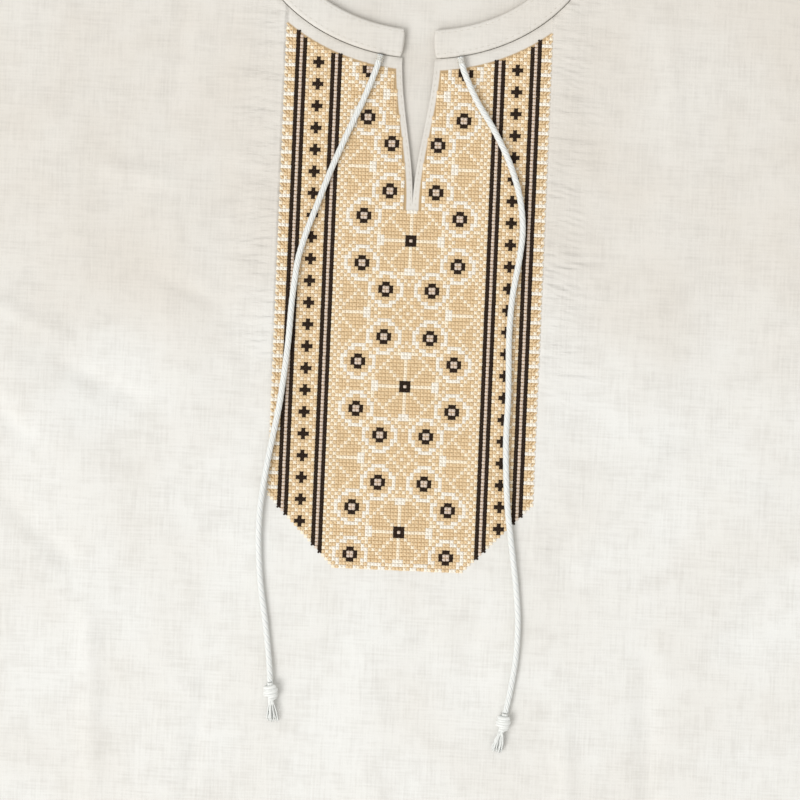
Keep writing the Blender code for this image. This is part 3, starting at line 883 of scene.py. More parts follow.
def front_rows():
    """Heights of the front's rows, and the number of the row at the slit's foot."""
    hem_top = HEM_Y + HEM_DEPTH
    body = stations(
        (HEM_Y, HEM_Y + EDGE_ROUNDING, EDGE_STEP),
        (HEM_Y + EDGE_ROUNDING, hem_top - HEM_TURN, HEM_STEP),
        (hem_top - HEM_TURN, hem_top + HEM_TURN, TURN_STEP),
        (hem_top + HEM_TURN, CHEST_LOW_Y, CLOTH_STEP),
        (CHEST_LOW_Y, SLIT_FOOT_Y, CHEST_STEP),
    )
    slit = stations((SLIT_FOOT_Y, SLIT_TOP_Y, 0.003))
    turns = np.linspace(FRONT_NECK_FROM, math.pi / 2, 34)
    neck = SHOULDER_Y - FRONT_NECK_DEPTH * np.cos(turns)
    edge = [SHOULDER_Y - EDGE_ROUNDING, SHOULDER_Y]
    return np.unique(np.concatenate([body, slit[1:], neck[1:-1], edge])), len(body) - 1


def front_columns():
    """Shares of the way from the middle to the side, close together where the cloth puckers."""
    puckers_from, puckers_to, view_edge = 0.070, 0.130, 0.225
    return stations(
        (0, EDGE_ROUNDING, EDGE_STEP),
        (EDGE_ROUNDING, puckers_from, 0.0070),
        (puckers_from, puckers_to, 0.0021),
        (puckers_to, view_edge, 0.0036),
        (view_edge, SIDE_X - EDGE_ROUNDING, 0.0050),
        (SIDE_X - EDGE_ROUNDING, SIDE_X, EDGE_STEP),
    ) / SIDE_X


def front_surface(x, y, creases):
    """Height of the front's upper face."""
    side_drop, shoulder_drop = 0.0011, 0.0007
    seam_fade, neck_fade = 0.010, 0.004
    top = WALL + front_rise(x, y) + WALL
    top = top + creases * lift(x, y - MOTIF_Y, FRONT_CREASES) * (1 - held_by_stitches(x, y))
    top = top + HEM_RISE * (1 - smooth((y - HEM_Y - HEM_DEPTH + HEM_TURN / 2) / HEM_TURN))
    side_seam = smooth((ARMHOLE_Y - GUSSET_SIDE + seam_fade - y) / seam_fade)
    top = top - turned_down(SIDE_X - abs(x), side_drop) * side_seam
    beside_neck = smooth((abs(x) - NECK_HALF_WIDTH) / neck_fade)
    return top - turned_down(SHOULDER_Y - y, shoulder_drop) * beside_neck


def make_front(linen):
    """Two halves that are one cloth below the slit, with the neckline cut out."""
    rows, foot = front_rows()
    columns = front_columns()
    inner = np.where(rows < SLIT_TOP_Y, slit_half_gap(rows), neckline_x(rows))[:, None]
    half = inner + (SIDE_X - inner) * columns[None, :]
    x = np.concatenate([-half[:, ::-1], half], axis=1)
    y = np.broadcast_to(rows[:, None], x.shape)
    from_slit = np.where(y > SLIT_FOOT_Y, abs(x) - inner, 1.0)
    distance = np.minimum.reduce([y - HEM_Y, SIDE_X - abs(x), SHOULDER_Y - y, from_slit])
    top = front_surface(x, y, linen.crease_depth)
    rolled = CLOTH / 2 * (1 - edge_share(distance))
    ids = np.arange(x.size).reshape(x.shape)
    middle = len(columns)
    ids[: foot + 1, middle] = ids[: foot + 1, middle - 1]
    used, numbers = np.unique(ids, return_inverse=True)
    ids = numbers.reshape(x.shape)
    quads = np.concatenate([grid_quads(ids[:, :middle]), grid_quads(ids[:, middle:])])
    upper = surface(x, y, top - rolled)[used]
    lower = surface(x, y, top - CLOTH + rolled)[used]
    piece = wall("front_cloth", quads, upper, lower, linen_finish(linen, puckered=True))
    place_piece(piece, "linen", "front")


def back_neck_y(x):
    """Upper edge of the back: an arc between the shoulders."""
    arc = BACK_NECK_CENTRE_Y - np.sqrt(np.maximum(0.0, BACK_NECK_RADIUS**2 - x * x))
    return np.where(abs(x) < NECK_HALF_WIDTH, arc, SHOULDER_Y)


def make_back(linen):
    """The back lies flat on the table, so only its edges are worked."""
    half = stations(
        (0, NECK_HALF_WIDTH, 0.006),
        (NECK_HALF_WIDTH, SIDE_X - EDGE_ROUNDING, 0.008),
        (SIDE_X - EDGE_ROUNDING, SIDE_X, EDGE_STEP),
    )
    across = np.concatenate([-half[:0:-1], half])
    shares = edged_stations(1, 0.0008, 0.0003, 0.012)[:, None]
    x = np.broadcast_to(across[None, :], (len(shares), len(across)))
    y = HEM_Y + (back_neck_y(x) - HEM_Y) * shares
    distance = np.minimum.reduce([y - HEM_Y, SIDE_X - abs(x), back_neck_y(x) - y])
    rolled = WALL / 2 * (1 - edge_share(distance))
    quads = grid_quads(np.arange(x.size).reshape(x.shape))
    upper, lower = surface(x, y, WALL - rolled), surface(x, y, rolled)
    piece = wall("back_cloth", quads, upper, lower, linen_finish(linen))
    place_piece(piece, "linen", "back")


def sleeve_half(from_armhole):
    """Half the width of a laid sleeve."""
    return between(SLEEVE_TOP_WIDTH, SLEEVE_END_WIDTH, from_armhole / SLEEVE_LENGTH) / 2


def sleeve_middle_y(side, from_armhole):
    """Middle line of a laid sleeve, which bends down towards its end."""
    share = max(from_armhole, 0) / SLEEVE_LENGTH
    return SHOULDER_Y - SLEEVE_DROOP[side] * share**DROOP_BEND - sleeve_half(from_armhole)


def sleeve_top(side, from_armhole, off, creases):
    """Height of a laid sleeve's upper face, at this distance from its middle line."""
    puff_bend, seam_share, seam_reach = 2.5, 0.35, 0.060
    puff = 1 - np.abs(off / sleeve_half(from_armhole)) ** puff_bend
    at_seam = between(seam_share, 1, smooth(from_armhole / seam_reach))
    folds = lift(from_armhole, off, SLEEVE_FOLDS[side])
    folds = folds + creases * lift(from_armhole, off, SLEEVE_CREASES[side])
    hem = HEM_RISE * smooth((from_armhole - SLEEVE_LENGTH + HEM_DEPTH) / HEM_TURN)
    return WALL + GAP + puff * at_seam * (SLEEVE_RISE + folds) + WALL + hem


def sleeve_ring(side, from_armhole, inset, creases):
    """The sleeve's section: the layer on the table, two folded edges and the upper layer."""
    below, above, in_fold = 14, 46, 6
    half, middle = sleeve_half(from_armhole), sleeve_middle_y(side, from_armhole)
    reach = half - SLEEVE_FOLD_RADIUS
    edge_top = sleeve_top(side, from_armhole, reach, creases)
    low_off = np.linspace(-reach, reach, below)
    high_off = np.linspace(reach, -reach, above)
    high = sleeve_top(side, from_armhole, high_off, creases) - inset
    turns = np.linspace(-math.pi / 2, math.pi / 2, in_fold + 2)[1:-1]
    fold_off = reach + (SLEEVE_FOLD_RADIUS - inset) * np.cos(turns)
    fold_high = edge_top / 2 + (edge_top / 2 - inset) * np.sin(turns)
    off = np.concatenate([low_off, fold_off, high_off, -fold_off[::-1]])
    height = np.concatenate([np.full(below, inset), fold_high, high, fold_high[::-1]])
    x = np.full(len(off), side * (SIDE_X + GAP + from_armhole))
    return np.stack([x, middle + off, height], axis=1)


def make_sleeve(side, linen):
    """A tapered tube that lies flat, with a hem at its end."""
    hem_top = SLEEVE_LENGTH - HEM_DEPTH
    places = stations(
        (0, EDGE_ROUNDING, EDGE_STEP),
        (EDGE_ROUNDING, hem_top - HEM_TURN, CLOTH_STEP),
        (hem_top - HEM_TURN, hem_top + HEM_TURN, TURN_STEP),
        (hem_top + HEM_TURN, SLEEVE_LENGTH - EDGE_ROUNDING, HEM_STEP),
        (SLEEVE_LENGTH - EDGE_ROUNDING, SLEEVE_LENGTH, EDGE_STEP),
    )
    outer, inner = [], []
    for place in places:
        rolled = CLOTH / 2 * (1 - edge_share(min(place, SLEEVE_LENGTH - place)))
        outer.append(sleeve_ring(side, place, rolled, linen.crease_depth))
        inner.append(sleeve_ring(side, place, CLOTH - rolled, linen.crease_depth))
    quads = ring_quads(len(places), len(outer) * len(outer[0]), closed=True)
    outer, inner = np.concatenate(outer), np.concatenate(inner)
    name = SIDE_NAMES[side]
    piece = wall(f"sleeve_cloth_{name}", quads, outer, inner, linen_finish(linen))
    place_piece(piece, "linen", f"sleeve_{name}")


def make_gusset(side, linen):
    """A square folded on its diagonal, between the side seam and the sleeve."""
    sections, on_flat, on_fold = 30, 10, 9
    blunted, deepest_fold = 0.07, 0.4  # shares of the fold's length and of the gusset's depth

    def lower_edge(from_armhole):
        return sleeve_middle_y(side, from_armhole) - sleeve_half(from_armhole) - GAP

    body_end = np.array([SIDE_X + GAP, ARMHOLE_Y - GUSSET_SIDE])
    corner = np.array([SIDE_X + GAP, ARMHOLE_Y - GAP])
    sleeve_end = np.array([SIDE_X + GUSSET_SIDE, lower_edge(GUSSET_SIDE)])
    middle = WALL + GAP / 2
    turns = np.linspace(math.pi / 2, -math.pi / 2, on_fold)
    outer, inner = [], []
    for share in np.linspace(blunted, 1 - blunted, sections):
        fold = between(body_end, sleeve_end, share)
        if share < 0.5:
            leg = between(body_end, corner, share * 2)
        else:
            leg = between(corner, sleeve_end, share * 2 - 1)
            leg[1] = lower_edge(leg[0] - SIDE_X - GAP)
        depth = math.dist(fold, leg)
        radius = min(GUSSET_FOLD_RADIUS, deepest_fold * depth)
        flat = np.linspace(depth, radius, on_flat)[:-1]
        for skin, inset in ((outer, 0.0), (inner, CLOTH)):
            round_fold = radius - (radius - inset) * np.cos(turns)
            inwards = np.concatenate([flat, round_fold, flat[::-1]])
            low, high = np.full(on_flat - 1, inset), np.full(on_flat - 1, 2 * middle - inset)
            height = np.concatenate([low, middle - (middle - inset) * np.sin(turns), high])
            spots = between(fold, leg, inwards[:, None] / depth)
            skin.append(np.column_stack([side * spots[:, 0], spots[:, 1], height]))
    quads = ring_quads(sections, len(outer) * len(outer[0]))
    outer, inner = np.concatenate(outer), np.concatenate(inner)
    name = SIDE_NAMES[side]
    piece = wall(f"gusset_cloth_{name}", quads, outer, inner, linen_finish(linen))
    place_piece(piece, "linen", f"gusset_{name}")


def band_section(thickness, inset, closing):
    """Half width and height of points round the folded band, from its middle."""
    roundness, in_corner = 0.9, 6
    half, tall = BAND_WIDTH / 2 - inset, thickness / 2 - inset
    corner = roundness * thickness / 2 - inset
    found = []
    for quarter, (sign_across, sign_up) in enumerate(((1, -1), (1, 1), (-1, 1), (-1, -1))):
        for turn in np.radians(np.linspace(quarter * 90 - 90, quarter * 90, in_corner)):
            across = sign_across * (half - corner) + corner * math.cos(turn)
            up = sign_up * (tall - corner) + corner * math.sin(turn)
            found.append((across * closing, up * closing))
    return found


def band_path_front(side):
    """Middle points of the front band and their directions away from the neck's middle."""
    inset = GAP + BAND_WIDTH / 2
    found = []
    for turn in np.linspace(FRONT_NECK_FROM, math.pi / 2, 60):
        across, down = math.sin(turn), math.cos(turn)
        away_x, away_y = unit([across / NECK_HALF_WIDTH, -down / FRONT_NECK_DEPTH])
        x = NECK_HALF_WIDTH * across - away_x * inset
        y = SHOULDER_Y - FRONT_NECK_DEPTH * down - away_y * inset
        found.append((side * x, y, side * away_x, away_y))
    centre_x = NECK_HALF_WIDTH - inset - BAND_TURN_RADIUS
    for turn in np.linspace(0, BAND_TURN, 12)[1:]:
        away_x, away_y = math.cos(turn), math.sin(turn)
        x = centre_x + away_x * BAND_TURN_RADIUS
        y = SHOULDER_Y + away_y * BAND_TURN_RADIUS
        found.append((side * x, y, side * away_x, away_y))
    return np.array(found)


def band_path_back():
    """The same for the back band, from the left to the right."""
    radius = BACK_NECK_RADIUS - GAP - BAND_WIDTH / 2
    turns = np.linspace(-BACK_NECK_TURN, BACK_NECK_TURN, 60)
    away = np.stack([np.sin(turns), -np.cos(turns)], axis=1)
    return np.concatenate([away * radius + (0, BACK_NECK_CENTRE_Y), away], axis=1)


def make_band(name, path, bottom, thickness, linen):
    """A strip of linen folded lengthwise, its ends turned in."""
    turn_in = 0.0016
    run = run_along(path[:, :2])
    length = float(run[-1])
    wanted = edged_stations(length, turn_in, 0.0003, 0.003)
    outer, inner = [], []
    for place, (x, y, away_x, away_y) in zip(wanted, at_runs(wanted, run, path)):
        closing = edge_share(min(place, length - place), turn_in)
        for skin, inset in ((outer, 0.0), (inner, CLOTH)):
            for across, up in band_section(thickness, inset, closing):
                height = bottom + thickness / 2 + up
                skin.append((x + away_x * across, y + away_y * across, height))
    quads = ring_quads(len(wanted), len(outer), closed=True)
    outer, inner = np.array(outer), np.array(inner)
    piece = wall(f"band_cloth_{name}", quads, outer, inner, linen_finish(linen))
    place_piece(piece, "linen", f"neckband_{name}")


def star_stitch(side, down):
    """The thread of a stitch this far from the middle column and from a star's middle row."""
    if side >= CHEQUER_FROM:
        return "tc"[(side + down + 1) % 2]
    if side >= AXIS_END_FROM and down <= AXIS_END_WIDTH:
        return "c" if side - down == AXIS_END_SLANT else "t"
    if (side, down) == LONE_TAN:
        return "t"
    long, short = max(side, down), min(side, down)
    if long + short > STAR_SPACING:
        long, short = STAR_SPACING - short, STAR_SPACING - long
    return STAR_EIGHTH[short][long - short]


def chart_stitch(column, row):
    """The thread of the stitch at this column and row."""
    side = abs(column)
    if side <= CHEQUER_TO:
        return star_stitch(side, abs((row + STAR_SPACING) % (2 * STAR_SPACING) - STAR_SPACING))
    if side in LINE_COLUMNS:
        return LINE_COLUMNS[side]
    if side < EDGING_FROM:
        return CROSS_BAND[(row - CROSS_ROW) % len(CROSS_BAND)][side - CROSS_FROM]
    return EDGING[row % len(EDGING)][side - EDGING_FROM]


def on_panel(column, row):
    """Whether this stitch lies in the panel, below the neckline and clear of the slit."""
    side = abs(column)
    if side + row > CHAMFER_SUM:
        return False
    near_x = side * STITCH_ACROSS - STITCH_ACROSS / 2
    top_y = MOTIF_Y - row * STITCH_DOWN + STITCH_DOWN / 2
    wide = max(0.0, near_x) / (NECK_HALF_WIDTH + NECK_MARGIN)
    deep = max(0.0, SHOULDER_Y - top_y) / (FRONT_NECK_DEPTH + NECK_MARGIN)
    if wide**2 + deep**2 < 1:
        return False
    past_slit = top_y < SLIT_FOOT_Y - SLIT_MARGIN
    return past_slit or near_x > slit_half_gap(top_y) + SLIT_MARGIN


def middle_of(column, row):
    """Where the middle of this stitch lies on the blouse."""
    return column * STITCH_ACROSS, MOTIF_Y - row * STITCH_DOWN


def thread_legs(name, starts, ends, widths, crowns, material):
    """Many short stretches of thread, each from a hole to a hole. crowns are three heights."""
    run = ends - starts
    count = len(run)
    aside = unit(np.stack([-run[:, 1], run[:, 0], np.zeros(count)], axis=1))
    chance = np.random.default_rng(SEED).random(count)

    def lay(along, across):
        return np.stack([np.full(count, along), np.full(count, across), chance], axis=1)

    points, lays = [starts], [lay(0.0, 0.0)]
    for i, (share, part) in enumerate(LEG_RINGS):
        half = aside * widths[:, None] * part / 2
        for across, up in LEG_SECTION:
            point = starts + run * share + half * across
            point[:, 2] += crowns[:, i] * up
            points.append(point)
            lays.append(lay(share, across))
    points.append(ends)
    lays.append(lay(1.0, 0.0))
    sides = len(LEG_SECTION)
    last = len(points) - 1
    around = [(one, (one + 1) % sides) for one in range(sides)]
    shapes = [(0, 1 + after, 1 + here) for here, after in around]
    shapes += [(last, last - sides + here, last - sides + after) for here, after in around]
    shapes += [
        (low + here, low + after, low + sides + after, low + sides + here)
        for low in range(1, last - sides, sides)
        for here, after in around
    ]
    base = np.arange(count)[:, None] * len(points)
    faces = []
    for shape in shapes:
        faces += (base + shape).tolist()
    made = mesh_object(name, np.stack(points, axis=1).reshape(-1, 3), faces, material)
    write_lay(made, np.stack(lays, axis=1))
    add_top_map(made)
    return made


def write_lay(piece, lay):
    """Keeps where each point lies along and across its thread, for the thread's material."""
    written = piece.data.attributes.new("lay", "FLOAT_VECTOR", "POINT")
    written.data.foreach_set("vector", lay.astype(np.float32).ravel())


def add_top_map(piece):
    """A UV map as seen from above, which fills the unit square but for a thin margin."""
    margin = 0.002
    mesh = piece.data
    places = np.empty(len(mesh.vertices) * 3, np.float32)
    mesh.vertices.foreach_get("co", places)
    flat = places.reshape(-1, 3)[:, :2]
    filled = (flat - flat.min(0)) / np.maximum(np.ptp(flat, axis=0), 1e-9)
    corners = np.empty(len(mesh.loops), np.int32)
    mesh.loops.foreach_get("vertex_index", corners)
    layer = mesh.uv_layers.new(name="OFBake")
    spots = margin + (1 - 2 * margin) * filled[corners]
    layer.uv.foreach_set("vector", spots.astype(np.float32).ravel())


def leg_line(place, slant, letter):
    """Where the legs of these stitches start and end. slant is 1 for a rise to the right."""
    _, across, down, _ = FULLNESS[letter]
    reach = np.ones_like(place) * (STITCH_ACROSS / 2 * across, STITCH_DOWN / 2 * down)
    reach[:, 1] *= slant
    low = np.full((len(place), 1), FRONT_TOP - LEG_SUNK)
    return np.hstack([place - reach, low]), np.hstack([place + reach, low])


def leg_sizes(count, letter, settings, chances, unevenness, heights):
    """A width and three crowns for each of so many legs."""
    width_share, _, _, height_share = FULLNESS[letter]
    widths = settings.width * width_share * chances.normal(1, unevenness, count)
    tall = settings.rise * height_share * chances.normal(1, unevenness, count)
    return widths, np.outer(tall, heights)


def crossed_legs(place, letter, settings, chances):
    """Both legs of each stitch: starts, ends, widths and crowns."""
    scatter, unevenness = 0.00005, 0.04
    lower_leg, upper_leg = (0.72, 0.66, 0.72), (0.62, 1.0, 0.62)
    place = place + chances.normal(0, scatter, place.shape)
    found = []
    for slant, heights in ((1, lower_leg), (-1, upper_leg)):
        sizes = leg_sizes(len(place), letter, settings, chances, unevenness, heights)
        found.append((*leg_line(place, slant, letter), *sizes))
    return [np.concatenate(part) for part in zip(*found)]


def single_legs(place, settings, chances):
    """One leg of each half stitch, which rises away from the middle."""
    heights, unevenness = (0.70, 0.85, 0.70), 0.05
    sizes = leg_sizes(len(place), "h", settings, chances, unevenness, heights)
    return [*leg_line(place, np.sign(place[:, 0]), "h"), *sizes]


def corner_legs(settings, chances):
    """One leg over each corner where two black stitches meet by their corners alone."""
    heights, unevenness = (0.95, 1.20, 0.95), 0.04
    places, slants = [], []
    for row in range(FIRST_ROW, LAST_ROW):
        for column in range(-CHEQUER_TO, CHEQUER_TO):
            spots = [(column + i, row + j) for j in (0, 1) for i in (0, 1)]
            black = [chart_stitch(*spot) == "k" and on_panel(*spot) for spot in spots]
            if black in ([True, False, False, True], [False, True, True, False]):
                places.append(middle_of(column + 0.5, row + 0.5))
                slants.append(-1 if black[0] else 1)
    places = np.array(places)
    widths = settings.width * CORNER_LEG_WIDTH * chances.normal(1, unevenness, len(places))
    crowns = np.outer(np.full(len(places), settings.rise), heights)
    return [*leg_line(places, np.array(slants), "k"), widths, crowns]


def make_cross_stitches(settings):
    """Every stitch of the chart: one leg laid first and the other over it."""
    cells = {letter: [] for letter in FULLNESS}
    for row in range(FIRST_ROW, LAST_ROW + 1):
        for column in range(-LAST_COLUMN, LAST_COLUMN + 1):
            if on_panel(column, row):
                cells[chart_stitch(column, row)].append(middle_of(column, row))
    cells = {letter: np.array(places) for letter, places in cells.items()}
    chances = np.random.default_rng(SEED)
    for letter, (label, slot) in THREADS.items():
        material = thread_finish(slot, getattr(settings, label), 0.55 if letter == "k" else 0.62)
        for ending in ("_left", "_right") if letter == "t" else ("",):
            def chosen(places):
                if not ending:
                    return places
                return places[(places[:, 0] < 0) == (ending == "_left")]

            legs = [crossed_legs(chosen(cells[letter]), letter, settings, chances)]
            if letter == "t":
                legs.append(single_legs(chosen(cells["h"]), settings, chances))
            if letter == "k":
                legs.append(corner_legs(settings, chances))
            legs = [np.concatenate(part) for part in zip(*legs)]
            piece = thread_legs(f"stitches_{label}{ending}", *legs, material)
            place_piece(piece, slot, "chest_embroidery")


def curve_through(points, steps=24):
    """Many close points on a smooth curve through the given ones."""
    padded = np.array([points[0], *points, points[-1]])
    found = []
    share = np.arange(steps)[:, None] / steps
    for a, b, c, d in zip(padded, padded[1:], padded[2:], padded[3:]):
        cubic = (2 * a - 5 * b + 4 * c - d) * share**2 + (3 * b - a - 3 * c + d) * share**3
        found.append(0.5 * (2 * b + (c - a) * share + cubic))
    return np.concatenate([*found, padded[-1:]])


def evenly_spaced(points, spacing):
    """Points at equal distances along a line of close points, both ends included."""
    run = run_along(points)
    wanted = np.linspace(0, run[-1], round(run[-1] / spacing) + 1)
    return at_runs(wanted, run, points), wanted


def directions(points):
    """Forward, sideways and upward directions along a line that is nowhere upright."""
    ahead = unit(np.gradient(points, axis=0))
    aside = unit(np.cross(ahead, (0, 0, 1.0)))
    return ahead, aside, np.cross(aside, ahead)


def tube(points, radial, tangent, radii, sides, run):
    """Points, faces and lay of one strand: an oval tube with closed ends."""
    count = len(points)
    turns = np.arange(sides) * 2 * math.pi / sides
    outwards = (radii[:, 0:1] * np.cos(turns))[:, :, None]
    sideways = (radii[:, 1:2] * np.sin(turns))[:, :, None]
    rings = points[:, None, :] + radial[:, None, :] * outwards + tangent[:, None, :] * sideways
    ids = np.arange(count * sides).reshape(count, sides)
    faces = [*grid_quads(ids, closed=True).tolist(), ids[0, ::-1].tolist(), ids[-1].tolist()]
    around = np.tile(turns / (2 * math.pi), count)
    depth = np.tile(0.5 - 0.5 * np.cos(turns), count)
    lay = np.stack([np.repeat(run, sides), around, depth], axis=1)
    return rings.reshape(-1, 3), faces, lay


def joined_tubes(name, tubes, material):
    """One object from several tubes, with their lay as an attribute."""
    points, faces, lays, count = [], [], [], 0
    for tube_points, tube_faces, lay in tubes:
        faces += [[corner + count for corner in face] for face in tube_faces]
        points.append(tube_points)
        lays.append(lay)
        count += len(tube_points)
    made = mesh_object(name, np.concatenate(points), faces, material)
    face_out(made)
    write_lay(made, np.concatenate(lays))
    return made


def twisted_strands(line, run, settings):
    """The strands of a twisted cord along a line of points."""
    _, aside, up = directions(line)
    radius = settings.diameter / 2
    half_thickness, half_width = 0.50 * radius, 0.72 * radius
    radii = np.tile([half_thickness, half_width], (len(line), 1))
    tubes = []
    for strand in range(settings.strands):
        turn = 2 * math.pi * (run / settings.twist + strand / settings.strands)[:, None]
        radial = aside * np.cos(turn) + up * np.sin(turn)
        tangent = up * np.cos(turn) - aside * np.sin(turn)
        centre = line + radial * (radius - half_thickness)
        tubes.append(tube(centre, radial, tangent, radii, 12, run))
    return tubes


def cord_line(side, spacing):
    """Points along the middle of one cord, and how far along each lies."""
    return evenly_spaced(curve_through(CORD_ROUTES[side] + (0, MOTIF_Y, 0)), spacing)


def make_cord(side, settings, cotton):
    """One tie cord from the band to its knot."""
    name = SIDE_NAMES[side]
    line, run = cord_line(side, 0.0009)
    cord = joined_tubes(f"tie_cord_{name}", twisted_strands(line, run, settings), cotton)
    place_piece(cord, "cord_cotton", f"cord_{name}")
    knot = make_knot(side, line, cotton)


def knot_coil(start, ahead, aside, up):
    """The cord drawn tight round itself, flattened at both of its hidden ends."""
    count, ending, end_share = 90, 4, 0.35
    flatness, slant = 0.72, 0.0007
    turns = np.linspace(0, KNOT_TURNS * 2 * math.pi, count)[:, None]
    swell = 0.85 + 0.15 * np.sin(np.linspace(0, math.pi, count))[:, None]
    radius = (KNOT_HALF_WIDTH - 0.0016) * swell
    along = np.linspace(0.0017, KNOT_LENGTH - 0.0022, count)[:, None] + slant * np.sin(turns)
    middle = start + ahead * along
    coil = middle + aside * radius * np.cos(turns) + up * flatness * radius * np.sin(turns)
    outwards = unit(coil - middle)
    sideways = np.cross(unit(np.gradient(coil, axis=0)), outwards)
    radii = np.tile(WRAP_HALF_SIZE, (count, 1))
    radii[:ending] *= np.linspace(end_share, 1, ending)[:, None]
    radii[-ending:] *= np.linspace(1, end_share, ending)[:, None]
    return tube(coil, outwards, sideways, radii, 12, run_along(coil))


def knot_core(start, ahead, aside, up):
    """The cord's own end, which fills the knot."""
    count, drop = 24, 0.0002
    along = np.linspace(-0.0002, KNOT_LENGTH + 0.002, count)[:, None]
    line = start + ahead * along - up * drop
    sides = [np.tile(direction, (count, 1)) for direction in (up, aside)]
    radii = np.full((count, 2), CORE_RADIUS)
    return tube(line, *sides, radii, 12, np.linspace(0, 0.012, count))


def tassel_thread(root, ahead, aside, up, chances):
    """One loose thread of the brush, which comes down to the cloth and spreads."""
    count, shortest, most_bow = 12, 0.78, 0.0008
    root_spread, end_spread = 0.0011, 0.0033
    spread = chances.uniform(-1, 1)
    level = chances.uniform(-1, 1)
    reach = TASSEL_LENGTH * chances.uniform(shortest, 1.0)
    bow = chances.uniform(-most_bow, most_bow)
    share = np.linspace(0, 1, count)[:, None]
    drop = KNOT_MIDDLE_HEIGHT - TASSEL_END_HEIGHT
    across = spread * between(root_spread, end_spread, share) + bow * np.sin(share * math.pi)
    rise = level * 0.0010 - drop * share**1.5 + 0.0003 * level * share
    strand = root + ahead * reach * share + aside * across + up * rise
    radii = np.full((count, 2), TASSEL_THREAD_RADIUS)
    radii[-1] *= 0.4
    _, strand_aside, strand_up = directions(strand)
    return tube(strand, strand_up, strand_aside, radii, 5, np.linspace(0, reach, count))


def make_knot(side, line, cotton):
    """Two turns of the cord drawn tight round itself, with a short brush of loose threads."""
    ahead = unit((line[-1] - line[-2]) * (1, 1, 0))
    aside = np.array([-ahead[1], ahead[0], 0])
    up = np.array([0, 0, 1.0])
    start = line[-1] + ahead * GAP
    start[2] = KNOT_MIDDLE_HEIGHT
    tubes = [knot_coil(start, ahead, aside, up), knot_core(start, ahead, aside, up)]
    chances = np.random.default_rng(SEED + side)
    root = start + ahead * (KNOT_LENGTH + 0.0004)
    for _ in range(TASSEL_THREADS):
        tubes.append(tassel_thread(root, ahead, aside, up, chances))
    knot = joined_tubes(f"end_knot_{SIDE_NAMES[side]}", tubes, cotton)
    return place_piece(knot, "cord_cotton", f"knot_{SIDE_NAMES[side]}")


def running_stitches(points, spacing):
    """Starts and ends of stitches at equal distances along a line of points."""
    stitch_share = 0.55
    line, run = evenly_spaced(points, spacing / 8)
    count = int(run[-1] / spacing)
    starts = np.arange(count) * spacing + (run[-1] - count * spacing) / 2
    return at_runs(starts, run, line), at_runs(starts + spacing * stitch_share, run, line)


def front_line(x, y, linen):
    """Points on the front's upper face over the given places."""
    x = np.broadcast_to(x, y.shape)
    return np.stack([x, y, front_surface(x, y, linen.crease_depth)], axis=1)


def sewing_lines(linen):
    """Lines to sew along: the hems, the slit, the armholes and both edges of the front band."""
    in_hem, beside_slit, beside_armhole, in_band = 0.002, 0.0014, 0.0045, 0.0022
    across = np.linspace(-SIDE_X + 0.004, SIDE_X - 0.004, 400)
    hem_y = np.full(len(across), HEM_Y + HEM_DEPTH - in_hem)
    yield front_line(across, hem_y, linen)
    for side in (-1, 1):
        rows = np.linspace(SLIT_FOOT_Y - 0.002, NECK_BASE_Y - 0.004, 60)
        yield front_line(side * (slit_half_gap(rows) + beside_slit), rows, linen)
        place = SLEEVE_LENGTH - HEM_DEPTH + in_hem
        off = np.linspace(-1, 1, 120) * (sleeve_half(place) - 0.005)
        x = np.full(len(off), side * (SIDE_X + GAP + place))
        height = sleeve_top(side, place, off, linen.crease_depth)
        yield np.stack([x, sleeve_middle_y(side, place) + off, height], axis=1)
        rows = np.linspace(ARMHOLE_Y + 0.002, SHOULDER_Y - 0.003, 160)
        yield front_line(side * (SIDE_X - beside_armhole), rows, linen)
        path = band_path_front(side)[:-9]
        height = np.full(len(path), FRONT_BAND_BOTTOM + BAND_THICKNESS - 0.00002)
        for off in (in_band - BAND_WIDTH / 2, BAND_WIDTH / 2 - in_band):
            yield np.column_stack([path[:, :2] + path[:, 2:] * off, height])


def make_sewing(settings, linen):
    """Running stitches along the hems, the slit and the band, and joining stitches at the seams."""
    heights = (0.00024, 0.00030, 0.00024)
    pairs = [running_stitches(line, settings.spacing) for line in sewing_lines(linen)]
    starts, ends = (np.concatenate(part) - (0, 0, STITCH_SUNK) for part in zip(*pairs))
    widths = np.full(len(starts), settings.width)
    crowns = np.tile(heights, (len(starts), 1))
    material = thread_finish("thread_sewing", settings.colour, 0.7, 2.0)
    piece = thread_legs("sewing_stitches", starts, ends, widths, crowns, material)
    place_piece(piece, "thread_sewing")


def make_bindings(settings):
    """Tight turns of sewing thread that hold each cord to the band."""
    count, thread_radius, pitch = 34, 0.00024, 0.0012
    material = thread_finish("thread_binding", settings.colour, 0.7, 2.0)
    angles = np.linspace(0, 2 * math.pi, count)
    forward, sideways, upwards = (
        part[:, None]
        for part in (
            pitch * angles / (2 * math.pi),
            BINDING_RADIUS * np.cos(angles),
            BINDING_RADIUS * np.sin(angles),
        )
    )
    radii = np.full((count, 2), thread_radius)
    for side in (-1, 1):
        line, _ = cord_line(side, 0.0011)
        tubes = []
        for middle, ahead, aside, up in list(zip(line, *directions(line)))[1 : 1 + BINDING_TURNS]:
            off = aside * sideways + up * upwards + ahead * forward
            along = np.tile(ahead, (count, 1))
            tubes.append(tube(middle + off, unit(off), along, radii, 6, angles * BINDING_RADIUS))
        piece = joined_tubes(f"cord_binding_{SIDE_NAMES[side]}", tubes, material)
        place_piece(piece, "thread_sewing")


